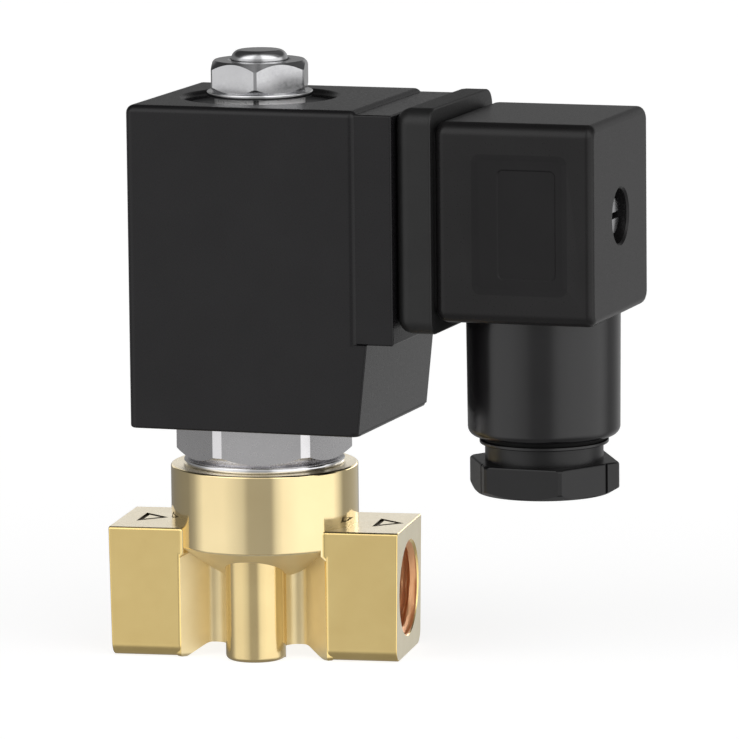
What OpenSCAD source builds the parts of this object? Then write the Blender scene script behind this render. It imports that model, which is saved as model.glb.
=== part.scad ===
// Direct-acting two-way solenoid valve: brass body, turnable coil and right-angle cable plug.
// Millimetres. The origin is on the valve's axis at its base, +X runs along the ports, +Z is up.

/* [Body] */
// End-to-end length along the ports
body_length = 41.3; // [38:0.1:50]
// Length of each end block along the ports
block_length = 10.75; // [8.5:0.25:11]
// Front-to-back depth of the end blocks
block_depth = 17; // [16:0.5:20]
// Height of the end blocks
block_height = 18.4; // [17.4:0.2:21]
// How much further each end reaches at its top than at its foot
end_draft = 0.3; // [0:0.05:0.6]
// Radius of the end blocks' long edges at the foot
block_foot_edge = 2; // [0.4:0.1:3]
// Radius of the end blocks' long edges at the top
block_top_edge = 0.6; // [0.2:0.1:1.2]
// Height of the body, from its base to the collar's top
body_height = 26.7; // [25.5:0.1:30]
// Diameter of the collar
collar_diameter = 26.3; // [24:0.1:30]
// Height of the collar's straight wall
collar_height = 11.1; // [9.5:0.1:12]
// Height of the collar's sloped underside
collar_taper = 5.4; // [2:0.1:7]
// How far the sloped underside draws in
collar_inset = 8; // [2:0.2:9]
// Front-to-back depth of the waist between the blocks
waist_depth = 10.4; // [9:0.2:12]
// Width of the waist where its slanted faces start
waist_width = 13.4; // [12.4:0.2:15]
// Radius of the fillet between the waist and a boss
waist_fillet = 1.8; // [0.5:0.1:2]
// Diameter of the two foot bosses
boss_diameter = 8.4; // [7:0.2:8.8]
// Height of the relief under the waist
relief_height = 1.8; // [0.5:0.1:2.5]
// Length of the relief's slope
relief_slope = 2.8; // [1:0.1:3.2]
// Length of the flow arrow on each block
arrow_length = 4.4; // [3:0.2:6]
// Length of the flow arrow's head
arrow_head = 2; // [1:0.1:2.6]
// Width of the flow arrow's head
arrow_width = 2; // [1:0.1:3]
// Width of the flow arrow's shaft
arrow_shaft = 0.7; // [0.3:0.1:0.9]
// Depth of the flow arrow
arrow_depth = 0.3; // [0.1:0.05:0.6]

/* [Ports and seat] */
// Height of the port axis
port_height = 9.2; // [8.6:0.1:9.6]
// Core diameter of the port thread
port_bore = 11.445; // [10.5:0.005:12]
// Depth of the port from the end face
port_depth = 12; // [9:0.5:12.5]
// Diameter of the chamfered port mouth
port_mouth = 13.6; // [12.6:0.1:14.4]
// Diameter of the flow passages
flow_bore = 5; // [3.5:0.25:5.5]
// Diameter of the valve orifice
orifice_bore = 3; // [1.5:0.25:4]
// Diameter of the passage up into the valve chamber
feed_bore = 3; // [2:0.25:3.2]
// Diameter of the valve chamber
chamber_diameter = 14.4; // [14:0.1:15]
// Depth of the valve chamber under the tube's flange
chamber_depth = 4.2; // [3.6:0.1:4.6]
// Diameter of the seat nozzle at its rim
nozzle_diameter = 5.6; // [4.8:0.1:6.4]
// Height of the seat nozzle
nozzle_height = 1.8; // [1:0.1:2]
// Thickness of the sealing ring under the tube's flange
seal_section = 1.4; // [1:0.05:1.6]
// Land left on each side of the sealing ring's groove
seal_land = 0.35; // [0.2:0.01:0.5]

/* [Mounting holes] */
// Distance between the two mounting holes
foot_spacing = 14; // [13:0.5:16]
// Core diameter of a mounting hole
foot_hole = 3.3; // [2.5:0.1:4.2]
// Depth of a mounting hole
foot_hole_depth = 7; // [4:0.5:8]

/* [Guide tube] */
// Diameter of the plunger
plunger_diameter = 12.4; // [11:0.1:12.8]
// Length of the plunger
plunger_length = 42; // [36:0.5:46]
// Lift of the plunger
stroke = 1.8; // [1:0.1:2.5]
// Wall of the guide tube
tube_wall = 0.5; // [0.3:0.05:0.7]
// Radial clearance round the tube's flange
flange_gap = 0.4; // [0.2:0.05:0.6]
// Thickness of the tube's flange
flange_thickness = 1.4; // [1:0.1:2]
// Thickness of the pole piece's head
pole_head = 1; // [0.6:0.1:2]
// Thread diameter of the stud
stud_diameter = 8; // [6:0.5:8]
// How far the stud's rounded end stands above the nut
stud_end = 1.4; // [1:0.1:3]
// Radius of the stud's rounded end
stud_round = 1.2; // [0.4:0.1:1.5]
// Diameter of the rubber seat disc
seat_disc_diameter = 7.4; // [6.8:0.1:9]
// Thickness of the rubber seat disc
seat_disc_height = 2.4; // [1.5:0.1:4]
// How far the seat disc stands out of the plunger
seat_disc_proud = 0.6; // [0.3:0.1:0.8]
// Width of the vent groove along the plunger
vent_width = 1.6; // [1:0.1:3]
// Depth of the vent groove along the plunger
vent_depth = 0.8; // [0.4:0.1:1.2]
// Mean diameter of the shading ring
shading_diameter = 9.8; // [9:0.1:10.2]
// Radial width of the shading ring
shading_width = 0.9; // [0.5:0.1:1.2]
// Depth of the shading ring in the pole face
shading_depth = 1.5; // [0.8:0.1:3]

/* [Return spring] */
// Diameter of the spring wire
spring_wire = 0.6; // [0.4:0.05:0.8]
// Outer diameter of the spring
spring_diameter = 5.2; // [4:0.1:6]
// Radial clearance of the spring in its pocket
spring_gap = 0.2; // [0.1:0.05:0.4]
// Depth of the spring's pocket in the plunger
spring_pocket = 12; // [8:0.5:20]
// Number of turns of the spring
spring_turns = 8; // [5:1:9]

/* [Tube nut] */
// Size across the flats
hex_across = 22; // [21:0.5:26]
// Diameter that the hex corners are turned to
hex_turned = 24.8; // [23:0.1:28]
// Height of the hex
hex_height = 5.7; // [4.5:0.1:10]
// Height of the turned chamfer under the hex
hex_chamfer = 1.4; // [0.5:0.1:3]
// Diameter of the hex's lower face
hex_foot = 21; // [20.4:0.1:22]
// Thread length under the hex
hex_thread_length = 6.1; // [5:0.1:7]
// Turn of the hex about the valve's axis
hex_turn = 10.2; // [-30:0.1:30]
// Radial width of the bright washer under the hex
tube_washer_width = 1.45; // [0.5:0.05:2]
// Thickness of the bright washer
tube_washer_height = 0.8; // [0.4:0.1:2]

/* [Coil] */
// Width of the coil block, along the plug
coil_width = 33.7; // [31.6:0.1:44]
// Distance from the valve's axis to the coil's plain side
coil_side = 14.6; // [13.6:0.1:20]
// Front-to-back depth of the coil block
coil_depth = 30.2; // [28.4:0.1:40]
// Height of the coil block
coil_height = 45.1; // [42:0.1:60]
// Turn of the coil about the valve's axis
coil_turn = -7; // [-180:0.5:180]
// Radius of the coil block's upright edges
coil_edge = 1.2; // [0.4:0.1:1.6]
// Depth of the round recess in the coil's top
recess_depth = 1.1; // [0.3:0.1:1.3]
// Diameter of the round recess in the coil's top
recess_diameter = 21; // [17:0.2:21.6]
// Thickness of the case under the yoke
case_floor = 0.8; // [0.5:0.1:2]
// Thickness of the yoke plates
yoke_thickness = 2; // [1.2:0.1:3]
// Front-to-back depth of the yoke plates
yoke_depth = 22; // [21.8:0.1:25]
// Reach of the yoke plates towards the plain side
yoke_side = 12.2; // [10.8:0.1:12.8]
// Reach of the yoke's leg towards the plug
yoke_reach = 15.9; // [15.2:0.1:16.2]
// Front-to-back depth of the yoke's leg
yoke_leg_depth = 16; // [8:0.5:20]
// Diameter of the bobbin's flanges
bobbin_diameter = 24.4; // [20:0.2:24.8]
// Thickness of the bobbin's flanges
bobbin_flange = 1.2; // [0.6:0.1:2]
// Wall of the bobbin's tube
bobbin_wall = 1; // [0.5:0.1:1.6]
// Depth of bare flange outside the winding
winding_margin = 0.4; // [0.1:0.1:1]

/* [Terminal base] */
// How far the terminal base stands out of the coil's side
base_reach = 5; // [4:0.1:8]
// Front-to-back depth of the terminal base
base_depth = 29.4; // [28.4:0.1:30]
// Height of the terminal base's lower face above the coil's foot
base_bottom = 12.8; // [8:0.1:13.4]
// Step from the coil's top down to the base's top
base_step = 0.5; // [0:0.1:1]
// How far the wall under the terminal base leans out towards it
wall_lean = 1.3; // [0.2:0.1:2]
// Width of a contact blade
blade_width = 6.3; // [4.8:0.1:6.4]
// Thickness of a contact blade
blade_thickness = 0.8; // [0.5:0.1:1]
// How far the blades stand out of the base
blade_reach = 10.4; // [7:0.1:11]
// Depth of the blades in the base
blade_root = 4.4; // [2:0.1:5]
// Distance between opposite blades
blade_spacing = 18; // [16:0.1:20]
// Diameter of the threaded insert
insert_diameter = 5.2; // [4:0.1:6]
// Length of the threaded insert
insert_length = 6.4; // [4:0.1:6.6]

/* [Plug] */
// Height of the plug's middle above the coil's foot
plug_rise = 29.9; // [29.4:0.1:30.1]
// Outer length of the plug, from the gasket to its end
plug_length = 22.8; // [21.5:0.1:30]
// Front-to-back depth of the plug
plug_depth = 26.8; // [26:0.1:27.4]
// Height of the plug
plug_height = 27.7; // [27:0.1:28.6]
// Radius of the plug's long edges
plug_edge = 2; // [0.5:0.1:2.4]
// Wall of the plug round its screw
plug_wall = 2.1; // [1.5:0.05:2.5]
// Thickness of the plug's end wall
plug_end_wall = 2.2; // [1.6:0.1:2.6]
// Thickness of the gasket frame
gasket_length = 5.4; // [4:0.1:6]
// Thickness of the gasket's sealing face
gasket_face = 1.5; // [1:0.1:2]
// Front-to-back depth of the gasket
gasket_depth = 28.2; // [27.8:0.1:29.2]
// Height of the gasket
gasket_height = 31.2; // [30.2:0.1:31.4]
// Radius of the gasket's corners
gasket_edge = 1.8; // [0.5:0.1:2]
// Length of the shallow panel on the plug's side
panel_length = 13.6; // [6:0.2:14]
// Height of the shallow panel on the plug's side
panel_height = 19.3; // [8:0.2:20]
// Depth of the shallow panel
panel_depth = 0.4; // [0.2:0.05:0.8]
// Distance from the plug's end to the panel
panel_inset = 3.6; // [2.4:0.1:5]
// Length of the contact carrier
carrier_length = 16; // [15:0.1:17]
// Rim of the contact carrier above and below its contacts
carrier_rim = 0.65; // [0.3:0.05:0.8]
// Length of a clamp contact
contact_length = 12.6; // [11.8:0.1:13]
// Thickness of a clamp contact, towards the plug's axis
contact_thickness = 3.2; // [2.8:0.1:3.4]
// Width of a clamp contact
contact_width = 7.6; // [7.2:0.1:9]
// Diameter of a contact's wire passage
wire_bore = 2.4; // [1.5:0.1:2.6]
// Depth of a terminal screw in its contact
terminal_depth = 2.4; // [1.5:0.1:2.6]
// Diameter of a terminal screw's head
terminal_head = 2.8; // [2:0.1:3]
// Height of a terminal screw's head
terminal_head_height = 1.4; // [0.8:0.1:2]
// Diameter of a terminal screw's thread
terminal_shank = 2; // [1.4:0.1:2]

/* [Plug screw] */
// Thread diameter of the plug's screw
screw_diameter = 2.94; // [2.5:0.02:3.2]
// Diameter of the screw's head
screw_head = 5.4; // [4.8:0.1:6]
// Height of the screw's head
screw_head_height = 2; // [1.4:0.1:2.4]
// Width of the screw's slot
slot_width = 0.9; // [0.5:0.05:1.2]
// Depth of the screw's slot
slot_depth = 1; // [0.5:0.1:1.2]
// Depth of the head's top under the plug's end
screw_recess = 1; // [0.6:0.1:1.4]
// Diameter of the hole over the screw's head
screw_hole = 7.6; // [6.6:0.1:9]
// Thickness of the sealing ring under the head
screw_seal_height = 0.6; // [0.4:0.1:0.8]
// How far the screw's end reaches into the insert
screw_engagement = 5; // [3:0.1:6]

/* [Cable gland] */
// Distance from the plug's end to the neck's axis
neck_inset = 11.2; // [10.8:0.05:11.6]
// Diameter of the neck
neck_diameter = 21.3; // [20.4:0.1:21.6]
// Reach of the neck below the plug
neck_reach = 16.9; // [16:0.1:24]
// Radius of the neck's lower edge
neck_edge = 1.3; // [0.4:0.1:1.5]
// Height of the lip under the neck
lip_height = 1.1; // [0.6:0.1:2]
// Diameter of the lip under the neck
lip_diameter = 17.9; // [17.6:0.1:18]
// Thread diameter of the gland nut
gland_thread = 16.4; // [15.4:0.1:16.6]
// Length of the gland nut's thread
gland_thread_length = 8.5; // [6:0.1:9]
// Bare length of the thread between the lip and the hex
gland_gap = 2.3; // [1:0.1:3]
// Size across the flats of the gland nut
gland_across = 19; // [17.6:0.1:20]
// Height of the gland nut's hex
gland_height = 4.5; // [3:0.1:7]
// Turn of the gland nut's hex
gland_turn = -1.4; // [-30:0.1:30]
// Diameter of the cable passage
cable_bore = 9.4; // [6:0.1:10]
// Height of the cable seal
gland_seal_height = 6; // [4:0.1:7]
// Height of the thrust ring
gland_ring_height = 1; // [0.6:0.1:1.6]
// Diameter of the passage above the seal
neck_passage = 13.2; // [10.6:0.1:14]
// Width of a grip slot in the gland nut
grip_width = 0.6; // [0.3:0.05:1]
// Depth of a grip slot in the gland nut
grip_depth = 0.7; // [0.3:0.05:1]
// Distance of a grip slot from the middle of its flat
grip_offset = 2.7; // [0:0.1:4]
// Height of the turned chamfer under the gland nut's hex
gland_chamfer = 0.7; // [0.2:0.05:1.5]

/* [Top fasteners] */
// Diameter of the split lock washer
lock_washer_diameter = 12.6; // [11:0.1:15]
// Thickness of the split lock washer
lock_washer_height = 1.2; // [0.8:0.1:2]
// Width of the lock washer's split
lock_washer_split = 0.8; // [0.4:0.1:1.6]
// Turn of the lock washer's split from the front
lock_washer_turn = 7.6; // [-180:0.1:180]
// Diameter of the flat washer
flat_washer_diameter = 14.8; // [12:0.1:18]
// Thickness of the flat washer
flat_washer_height = 0.7; // [0.5:0.1:2]
// Size across the flats of the top nut
top_nut_across = 13; // [11:0.1:15]
// Height of the top nut
top_nut_height = 4.3; // [3:0.1:6.5]
// Turn of the top nut
top_nut_turn = -22.4; // [-30:0.1:30]

/* [Fits] */
// Radial clearance of the plunger in the tube
plunger_gap = 0.08; // [0.04:0.01:0.1]
// Radial clearance of the coil on the tube
coil_gap = 0.1; // [0.05:0.01:0.1]
// Clearance of a thread or of a piece pressed into another
thread_gap = 0.05; // [0.02:0.01:0.08]
// Clearance round the contact blades
blade_gap = 0.1; // [0.05:0.01:0.15]
// Clearance round the contact carrier
carrier_gap = 0.2; // [0.1:0.05:0.3]

/* [Hidden] */

$fn = 64;
// Overlap of joined shapes and overshoot of cuts
eps = 0.5;

// Heights up the valve's axis
collar_foot = body_height - collar_height;
hex_foot_z = body_height + tube_washer_height;
flange_top = hex_foot_z - hex_thread_length;
flange_foot = flange_top - flange_thickness;
chamber_floor = flange_foot - chamber_depth;
seat_z = chamber_floor + nozzle_height;
plunger_foot = seat_z + seat_disc_proud;
plunger_top = plunger_foot + plunger_length;
pole_face = plunger_top + stroke;
coil_foot = hex_foot_z + hex_height;
coil_top = coil_foot + coil_height;
upper_plate_top = coil_top - recess_depth;
upper_plate_foot = upper_plate_top - yoke_thickness;
lower_plate_foot = coil_foot + case_floor;
lower_plate_top = lower_plate_foot + yoke_thickness;
pole_top = upper_plate_foot - coil_gap;
tube_top = pole_top - pole_head;
lock_washer_top = upper_plate_top + lock_washer_height;
flat_washer_top = lock_washer_top + flat_washer_height;
top_nut_top = flat_washer_top + top_nut_height;
stud_top = top_nut_top + stud_end;

// Radii about the valve's axis
plunger_r = plunger_diameter / 2;
tube_inner_r = plunger_r + plunger_gap;
tube_outer_r = tube_inner_r + tube_wall;
coil_bore_r = tube_outer_r + coil_gap;
chamber_r = chamber_diameter / 2;
flange_r = chamber_r + seal_section + 2 * (seal_land + thread_gap);
thread_r = flange_r + flange_gap;
thread_bore_r = thread_r + thread_gap;
stud_r = stud_diameter / 2 - thread_gap;
stud_hole_r = stud_diameter / 2 + coil_gap;
seal_groove_r = (chamber_r + flange_r) / 2;
spring_r = (spring_diameter - spring_wire) / 2;
bobbin_tube_r = coil_bore_r + bobbin_wall;

// Places across the body
block_inner = body_length / 2 - block_length;
port_face = body_length / 2 - end_draft * (1 - port_height / block_height);
port_chamfer = (port_mouth - port_bore) / 2;
feed_x = chamber_r - feed_bore / 2 - thread_gap;
boss_r = boss_diameter / 2;
collar_r = collar_diameter / 2;

// Places along the plug, from the valve's axis
coil_face = coil_width - coil_side;
base_face = coil_face + base_reach;
base_foot = coil_foot + base_bottom;
gasket_end = base_face + gasket_length;
plug_start = base_face + gasket_face;
plug_end = gasket_end + plug_length;
cavity_end = plug_end - plug_end_wall;
plug_z = coil_foot + plug_rise;
plug_foot = plug_z - plug_height / 2;
panel_start = plug_end - panel_inset - panel_length;
carrier_depth = blade_spacing + contact_thickness;
carrier_height = carrier_depth + 2 * carrier_rim;
cavity_depth = carrier_depth + 2 * carrier_gap;
cavity_height = carrier_height + 2 * carrier_gap;
cavity_foot = plug_z - cavity_height / 2;
carrier_start = base_face + carrier_gap;
carrier_end = carrier_start + carrier_length;
contact_end = carrier_end - carrier_gap;
contact_start = contact_end - contact_length;
blade_end = base_face + blade_reach;
screw_head_top = plug_end - screw_recess;
screw_head_foot = screw_head_top - screw_head_height;
screw_seat = screw_head_foot - screw_seal_height;
screw_end = base_face - screw_engagement;
screw_r = screw_diameter / 2;
screw_way_r = screw_r + blade_gap;

// Heights down the cable gland
neck_x = plug_end - neck_inset;
neck_foot = plug_foot - neck_reach;
lip_foot = neck_foot - lip_height;
gland_hex_top = lip_foot - gland_gap;
gland_foot = gland_hex_top - gland_height;
gland_thread_top = gland_hex_top + gland_thread_length;
gland_ring_top = gland_thread_top + gland_ring_height;
gland_seal_top = gland_ring_top + gland_seal_height;
gland_bore_r = gland_thread / 2 + blade_gap;
cable_r = cable_bore / 2;

// Turns the coil and everything on it about the valve's axis
module in_coil_frame() {
    rotate([0, 0, coil_turn]) children();
}

// Puts a shape drawn along +Z on the plug's axis, pointing along +X
module along_plug(x) {
    translate([x, 0, plug_z]) rotate([0, 90, 0]) children();
}

// Repeats a contact, drawn at +Y of the plug's axis, at the given angles about that axis
module around_plug(angles) {
    for (angle = angles) {
        translate([0, 0, plug_z]) rotate([angle, 0, 0]) children();
    }
}

// Extrudes an outline drawn in X and Z along Y, centred on Y = 0
module across(depth) {
    translate([0, depth / 2, 0]) rotate([90, 0, 0]) linear_extrude(height = depth) children();
}

// Box centred on Y = 0, from one X and Z corner to the other
module slab(x0, x1, depth, z0, z1) {
    translate([x0, -depth / 2, z0]) cube([x1 - x0, depth, z1 - z0]);
}

// Box centred on the plug's axis
module plug_slab(x0, x1, depth, height) {
    slab(x0, x1, depth, plug_z - height / 2, plug_z + height / 2);
}

// Rectangle about the origin with round corners
module round_rect(w, d, r) {
    square([w, d - 2 * r], center = true);
    square([w - 2 * r, d], center = true);
    for (x = [-1, 1], y = [-1, 1]) {
        translate([x * (w / 2 - r), y * (d / 2 - r)]) circle(r = r);
    }
}

// Bar along the plug's axis with round long edges
module plug_bar(x0, x1, depth, height, edge) {
    along_plug(x0) linear_extrude(height = x1 - x0) round_rect(height, depth, edge);
}

// Flat ring about the Z axis
module ring(outer_r, inner_r, z0, z1) {
    translate([0, 0, z0]) difference() {
        cylinder(r = outer_r, h = z1 - z0);
        translate([0, 0, -eps]) cylinder(r = inner_r, h = z1 - z0 + 2 * eps);
    }
}

// Hex prism cut by a turned outline that chamfers its corners below and above
module turned_hex(across_flats, turned_d, foot_d, foot_chamfer, top_d, top_chamfer, height) {
    intersection() {
        cylinder(d = across_flats / cos(30), h = height, $fn = 6);
        rotate_extrude() polygon([
            [0, 0], [foot_d / 2, 0], [turned_d / 2, foot_chamfer],
            [turned_d / 2, height - top_chamfer], [top_d / 2, height], [0, height]
        ]);
    }
}

// Corner fillet in the quarter of the plane right of and above the origin
module corner_fillet(r) {
    difference() {
        translate([-eps, -eps]) square(r + eps);
        translate([r, r]) circle(r = r);
    }
}

// Outline of the waist seen from above, with the slanted faces that run out to the blocks
module waist_outline() {
    x0 = block_inner + eps;
    y0 = block_depth / 2;
    x1 = waist_width / 2;
    y1 = waist_depth / 2;
    polygon([
        [-x0, -y0], [-block_inner, -y0], [-x1, -y1], [x1, -y1], [block_inner, -y0], [x0, -y0],
        [x0, y0], [block_inner, y0], [x1, y1], [-x1, y1], [-block_inner, y0], [-x0, y0]
    ]);
}

// Outline of the foot bosses seen from above, with the fillets that join them to the waist
module boss_outline() {
    square([boss_diameter, foot_spacing], center = true);
    for (side = [-1, 1]) {
        translate([0, side * foot_spacing / 2]) circle(d = boss_diameter);
        for (end = [-1, 1]) {
            mirror([end < 0 ? 1 : 0, 0]) mirror([0, side < 0 ? 1 : 0])
                translate([boss_r, waist_depth / 2])
                corner_fillet(min(waist_fillet, waist_width / 2 - boss_r));
        }
    }
}

// Outline of one end block seen from the front, leaning out towards its top
module block_outline() {
    polygon([
        [block_inner, 0], [body_length / 2 - end_draft, 0],
        [body_length / 2, block_height], [block_inner, block_height]
    ]);
}

// Section of the end blocks across the ports, with round long edges
module block_section() {
    edges = [block_foot_edge, block_top_edge];
    difference() {
        translate([-block_depth / 2, 0]) square([block_depth, block_height]);
        for (side = [0, 1], level = [0, 1]) {
            mirror([1 - side, 0]) translate([-block_depth / 2, level * block_height])
                mirror([0, level]) corner_fillet(edges[level]);
        }
    }
}

// Keeps what lies inside the blocks' section, all along the ports
module in_block_section() {
    intersection() {
        children();
        translate([-body_length / 2, 0, 0]) rotate([90, 0, 90])
            linear_extrude(height = body_length) block_section();
    }
}

// Outline of the relief under the waist on one side of the bosses
module relief_outline() {
    slope_foot = block_inner - eps;
    polygon([
        [boss_r, -eps], [boss_r, relief_height], [slope_foot - relief_slope, relief_height],
        [slope_foot, 0], [slope_foot, -eps]
    ]);
}

// Arrow along +X about the origin
module arrow_outline() {
    tip = arrow_length / 2;
    neck = tip - arrow_head;
    polygon([
        [-tip, -arrow_shaft / 2], [neck, -arrow_shaft / 2], [neck, -arrow_width / 2], [tip, 0],
        [neck, arrow_width / 2], [neck, arrow_shaft / 2], [-tip, arrow_shaft / 2]
    ]);
}

// Bore and chamfered mouth of one port, drawn for the +X end
module port_cut() {
    translate([port_face - port_depth, 0, port_height]) rotate([0, 90, 0]) {
        cylinder(d = port_bore, h = port_depth + eps);
        translate([0, 0, port_depth - port_chamfer])
            cylinder(d1 = port_bore, d2 = port_mouth + 2 * eps, h = port_chamfer + eps);
    }
}

// Valve chamber with its nozzle left standing, the seal's groove and the thread bore
module chamber_cut() {
    groove_half = seal_section / 2 + thread_gap;
    difference() {
        translate([0, 0, chamber_floor]) cylinder(r = chamber_r, h = chamber_depth + eps);
        translate([0, 0, chamber_floor - eps]) cylinder(d = nozzle_diameter, h = nozzle_height + eps);
    }
    ring(seal_groove_r + groove_half, seal_groove_r - groove_half,
        flange_foot - seal_section, flange_foot + eps);
    translate([0, 0, flange_foot]) cylinder(r = thread_bore_r, h = body_height - flange_foot + eps);
}

// Passages from both ports to the seat
module flow_cut() {
    for (end = [-1, 1]) {
        mirror([end < 0 ? 1 : 0, 0, 0]) port_cut();
    }
    translate([0, 0, port_height]) {
        rotate([0, 90, 0]) cylinder(d = flow_bore, h = port_face - port_depth + eps);
        cylinder(d = orifice_bore, h = seat_z - port_height + eps);
    }
    translate([-feed_x, 0, port_height]) {
        rotate([0, -90, 0]) cylinder(d = flow_bore, h = port_face - port_depth - feed_x + eps);
        cylinder(d = feed_bore, h = chamber_floor - port_height + eps);
    }
}

module valve_body() {
    color("goldenrod") difference() {
        union() {
            linear_extrude(height = collar_foot + eps) boss_outline();
            in_block_section() linear_extrude(height = collar_foot + eps) waist_outline();
            for (end = [-1, 1]) {
                in_block_section() mirror([end < 0 ? 1 : 0, 0, 0]) across(block_depth) block_outline();
            }
            translate([0, 0, collar_foot]) cylinder(r = collar_r, h = collar_height);
            translate([0, 0, collar_foot - collar_taper])
                cylinder(r1 = collar_r - collar_inset, r2 = collar_r, h = collar_taper);
        }
        for (end = [-1, 1]) {
            mirror([end < 0 ? 1 : 0, 0, 0]) across(block_depth + 2 * eps) relief_outline();
            translate([end * (body_length - block_length) / 2, 0, block_height - arrow_depth])
                linear_extrude(height = arrow_depth + eps) arrow_outline();
            translate([0, end * foot_spacing / 2, -eps]) cylinder(d = foot_hole, h = foot_hole_depth + eps);
        }
        flow_cut();
        chamber_cut();
    }
}

module body_seal() {
    color("dimgray") translate([0, 0, flange_foot - seal_section / 2])
        rotate_extrude() translate([seal_groove_r, 0]) circle(d = seal_section);
}

module guide_tube() {
    color("silver") difference() {
        union() {
            translate([0, 0, flange_foot]) cylinder(r = tube_outer_r, h = tube_top - flange_foot);
            translate([0, 0, flange_foot]) cylinder(r = flange_r, h = flange_thickness);
        }
        translate([0, 0, flange_foot - eps])
            cylinder(r = tube_inner_r, h = tube_top - flange_foot + 2 * eps);
    }
}

module pole_piece() {
    pole_r = tube_inner_r - thread_gap;
    round_z = stud_top - stud_round;
    color("silver") difference() {
        rotate_extrude() union() {
            polygon([
                [0, pole_face], [pole_r, pole_face], [pole_r, tube_top], [tube_outer_r, tube_top],
                [tube_outer_r, pole_top], [stud_r, pole_top], [stud_r, round_z],
                [stud_r - stud_round, round_z], [stud_r - stud_round, stud_top], [0, stud_top]
            ]);
            translate([stud_r - stud_round, round_z]) circle(r = stud_round);
        }
        translate([0, 0, pole_face - eps])
            ring((shading_diameter + shading_width) / 2 + thread_gap,
                (shading_diameter - shading_width) / 2 - thread_gap, 0, shading_depth + eps);
    }
}

module shading_ring() {
    color("peru") ring((shading_diameter + shading_width) / 2, (shading_diameter - shading_width) / 2,
        pole_face, pole_face + shading_depth);
}

// Points of one ring of the spring's wire, at a share of its length from 0 to 1
function spring_ring(share, sides) = let (
        angle = 360 * spring_turns * share,
        z0 = plunger_top - spring_pocket + spring_wire / 2,
        z1 = pole_face - spring_wire / 2
    ) [
        for (side = [0:sides - 1])
            let (reach = spring_r + spring_wire / 2 * cos(360 * side / sides))
            [reach * cos(angle), reach * sin(angle),
                z0 + (z1 - z0) * share + spring_wire / 2 * sin(360 * side / sides)]
    ];

module return_spring() {
    sides = 6;
    rings = 12 * spring_turns;
    points = [for (i = [0:rings]) each spring_ring(i / rings, sides)];
    wall = [
        for (i = [0:rings - 1], side = [0:sides - 1])
            let (a = i * sides + side, b = i * sides + (side + 1) % sides)
            each [[a, a + sides, b], [b, a + sides, b + sides]]
    ];
    start_cap = [for (side = [1:sides - 2]) [0, side, side + 1]];
    end_cap = [for (side = [1:sides - 2]) [rings * sides, rings * sides + side + 1, rings * sides + side]];
    color("lightgray") polyhedron(points = points, faces = concat(wall, start_cap, end_cap));
}

module tube_nut() {
    color("lightgray") difference() {
        union() {
            translate([0, 0, hex_foot_z]) rotate([0, 0, hex_turn])
                turned_hex(hex_across, hex_turned, hex_foot, hex_chamfer, hex_turned, 0, hex_height);
            translate([0, 0, flange_top]) cylinder(r = thread_r, h = hex_thread_length + eps);
        }
        translate([0, 0, flange_top - eps]) cylinder(r = coil_bore_r, h = coil_foot - flange_top + 2 * eps);
    }
}

module tube_washer() {
    color("white") ring(thread_bore_r + tube_washer_width, thread_bore_r, body_height, hex_foot_z);
}

module plunger() {
    color("silver") difference() {
        translate([0, 0, plunger_foot]) cylinder(r = plunger_r, h = plunger_length);
        translate([0, 0, plunger_foot - eps])
            cylinder(d = seat_disc_diameter + 2 * thread_gap, h = seat_disc_height - seat_disc_proud + eps);
        translate([0, 0, plunger_top - spring_pocket])
            cylinder(d = spring_diameter + 2 * spring_gap, h = spring_pocket + eps);
        for (side = [-1, 1]) {
            translate([0, side * plunger_r, plunger_foot + plunger_length / 2])
                cube([vent_width, 2 * vent_depth, plunger_length + 2 * eps], center = true);
        }
    }
}

module seat_disc() {
    color("black") translate([0, 0, seat_z]) cylinder(d = seat_disc_diameter, h = seat_disc_height);
}

// Space inside the case for the bobbin and the yoke
module case_cavity() {
    translate([0, 0, lower_plate_foot])
        cylinder(d = bobbin_diameter + 2 * coil_gap, h = upper_plate_top - lower_plate_foot);
    slab(-yoke_side - thread_gap, yoke_reach + thread_gap, yoke_depth + 2 * thread_gap,
        lower_plate_foot, upper_plate_top);
}

// One blade in its own frame: at +Y of the plug's axis, from its root to its tip
module blade(gap, x0, x1) {
    translate([x0, (blade_spacing - blade_thickness) / 2 - gap, -blade_width / 2 - gap])
        cube([x1 - x0, blade_thickness + 2 * gap, blade_width + 2 * gap]);
}

// Outline of the terminal base seen from the front
module base_outline() {
    translate([coil_face - coil_edge - eps, base_foot])
        square([base_reach + coil_edge + eps, coil_top - base_step - base_foot]);
}

// Outline of the leaning wall under the terminal base seen from the front
module lean_outline() {
    x0 = coil_face - coil_edge - eps;
    polygon([
        [x0, coil_foot], [coil_face, coil_foot],
        [coil_face + wall_lean, base_foot], [coil_face + wall_lean, base_foot + eps], [x0, base_foot + eps]
    ]);
}

module coil_case() {
    color("#2b292b") in_coil_frame() difference() {
        union() {
            translate([coil_width / 2 - coil_side, 0, coil_foot]) linear_extrude(height = coil_height)
                round_rect(coil_width, coil_depth, coil_edge);
            across(base_depth) base_outline();
            across(coil_depth) lean_outline();
        }
        case_cavity();
        translate([0, 0, upper_plate_top - eps]) cylinder(d = recess_diameter, h = recess_depth + 2 * eps);
        translate([0, 0, coil_foot - eps]) cylinder(r = coil_bore_r, h = case_floor + 2 * eps);
        around_plug([0, 180, 270]) blade(thread_gap, base_face - blade_root - thread_gap, base_face + eps);
        along_plug(base_face - insert_length)
            cylinder(d = insert_diameter + 2 * thread_gap, h = insert_length + eps);
    }
}

module bobbin() {
    color("ivory") in_coil_frame() {
        ring(bobbin_tube_r, coil_bore_r, lower_plate_top, upper_plate_foot);
        for (z = [lower_plate_top, upper_plate_foot - bobbin_flange]) {
            ring(bobbin_diameter / 2, coil_bore_r, z, z + bobbin_flange);
        }
    }
}

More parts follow.
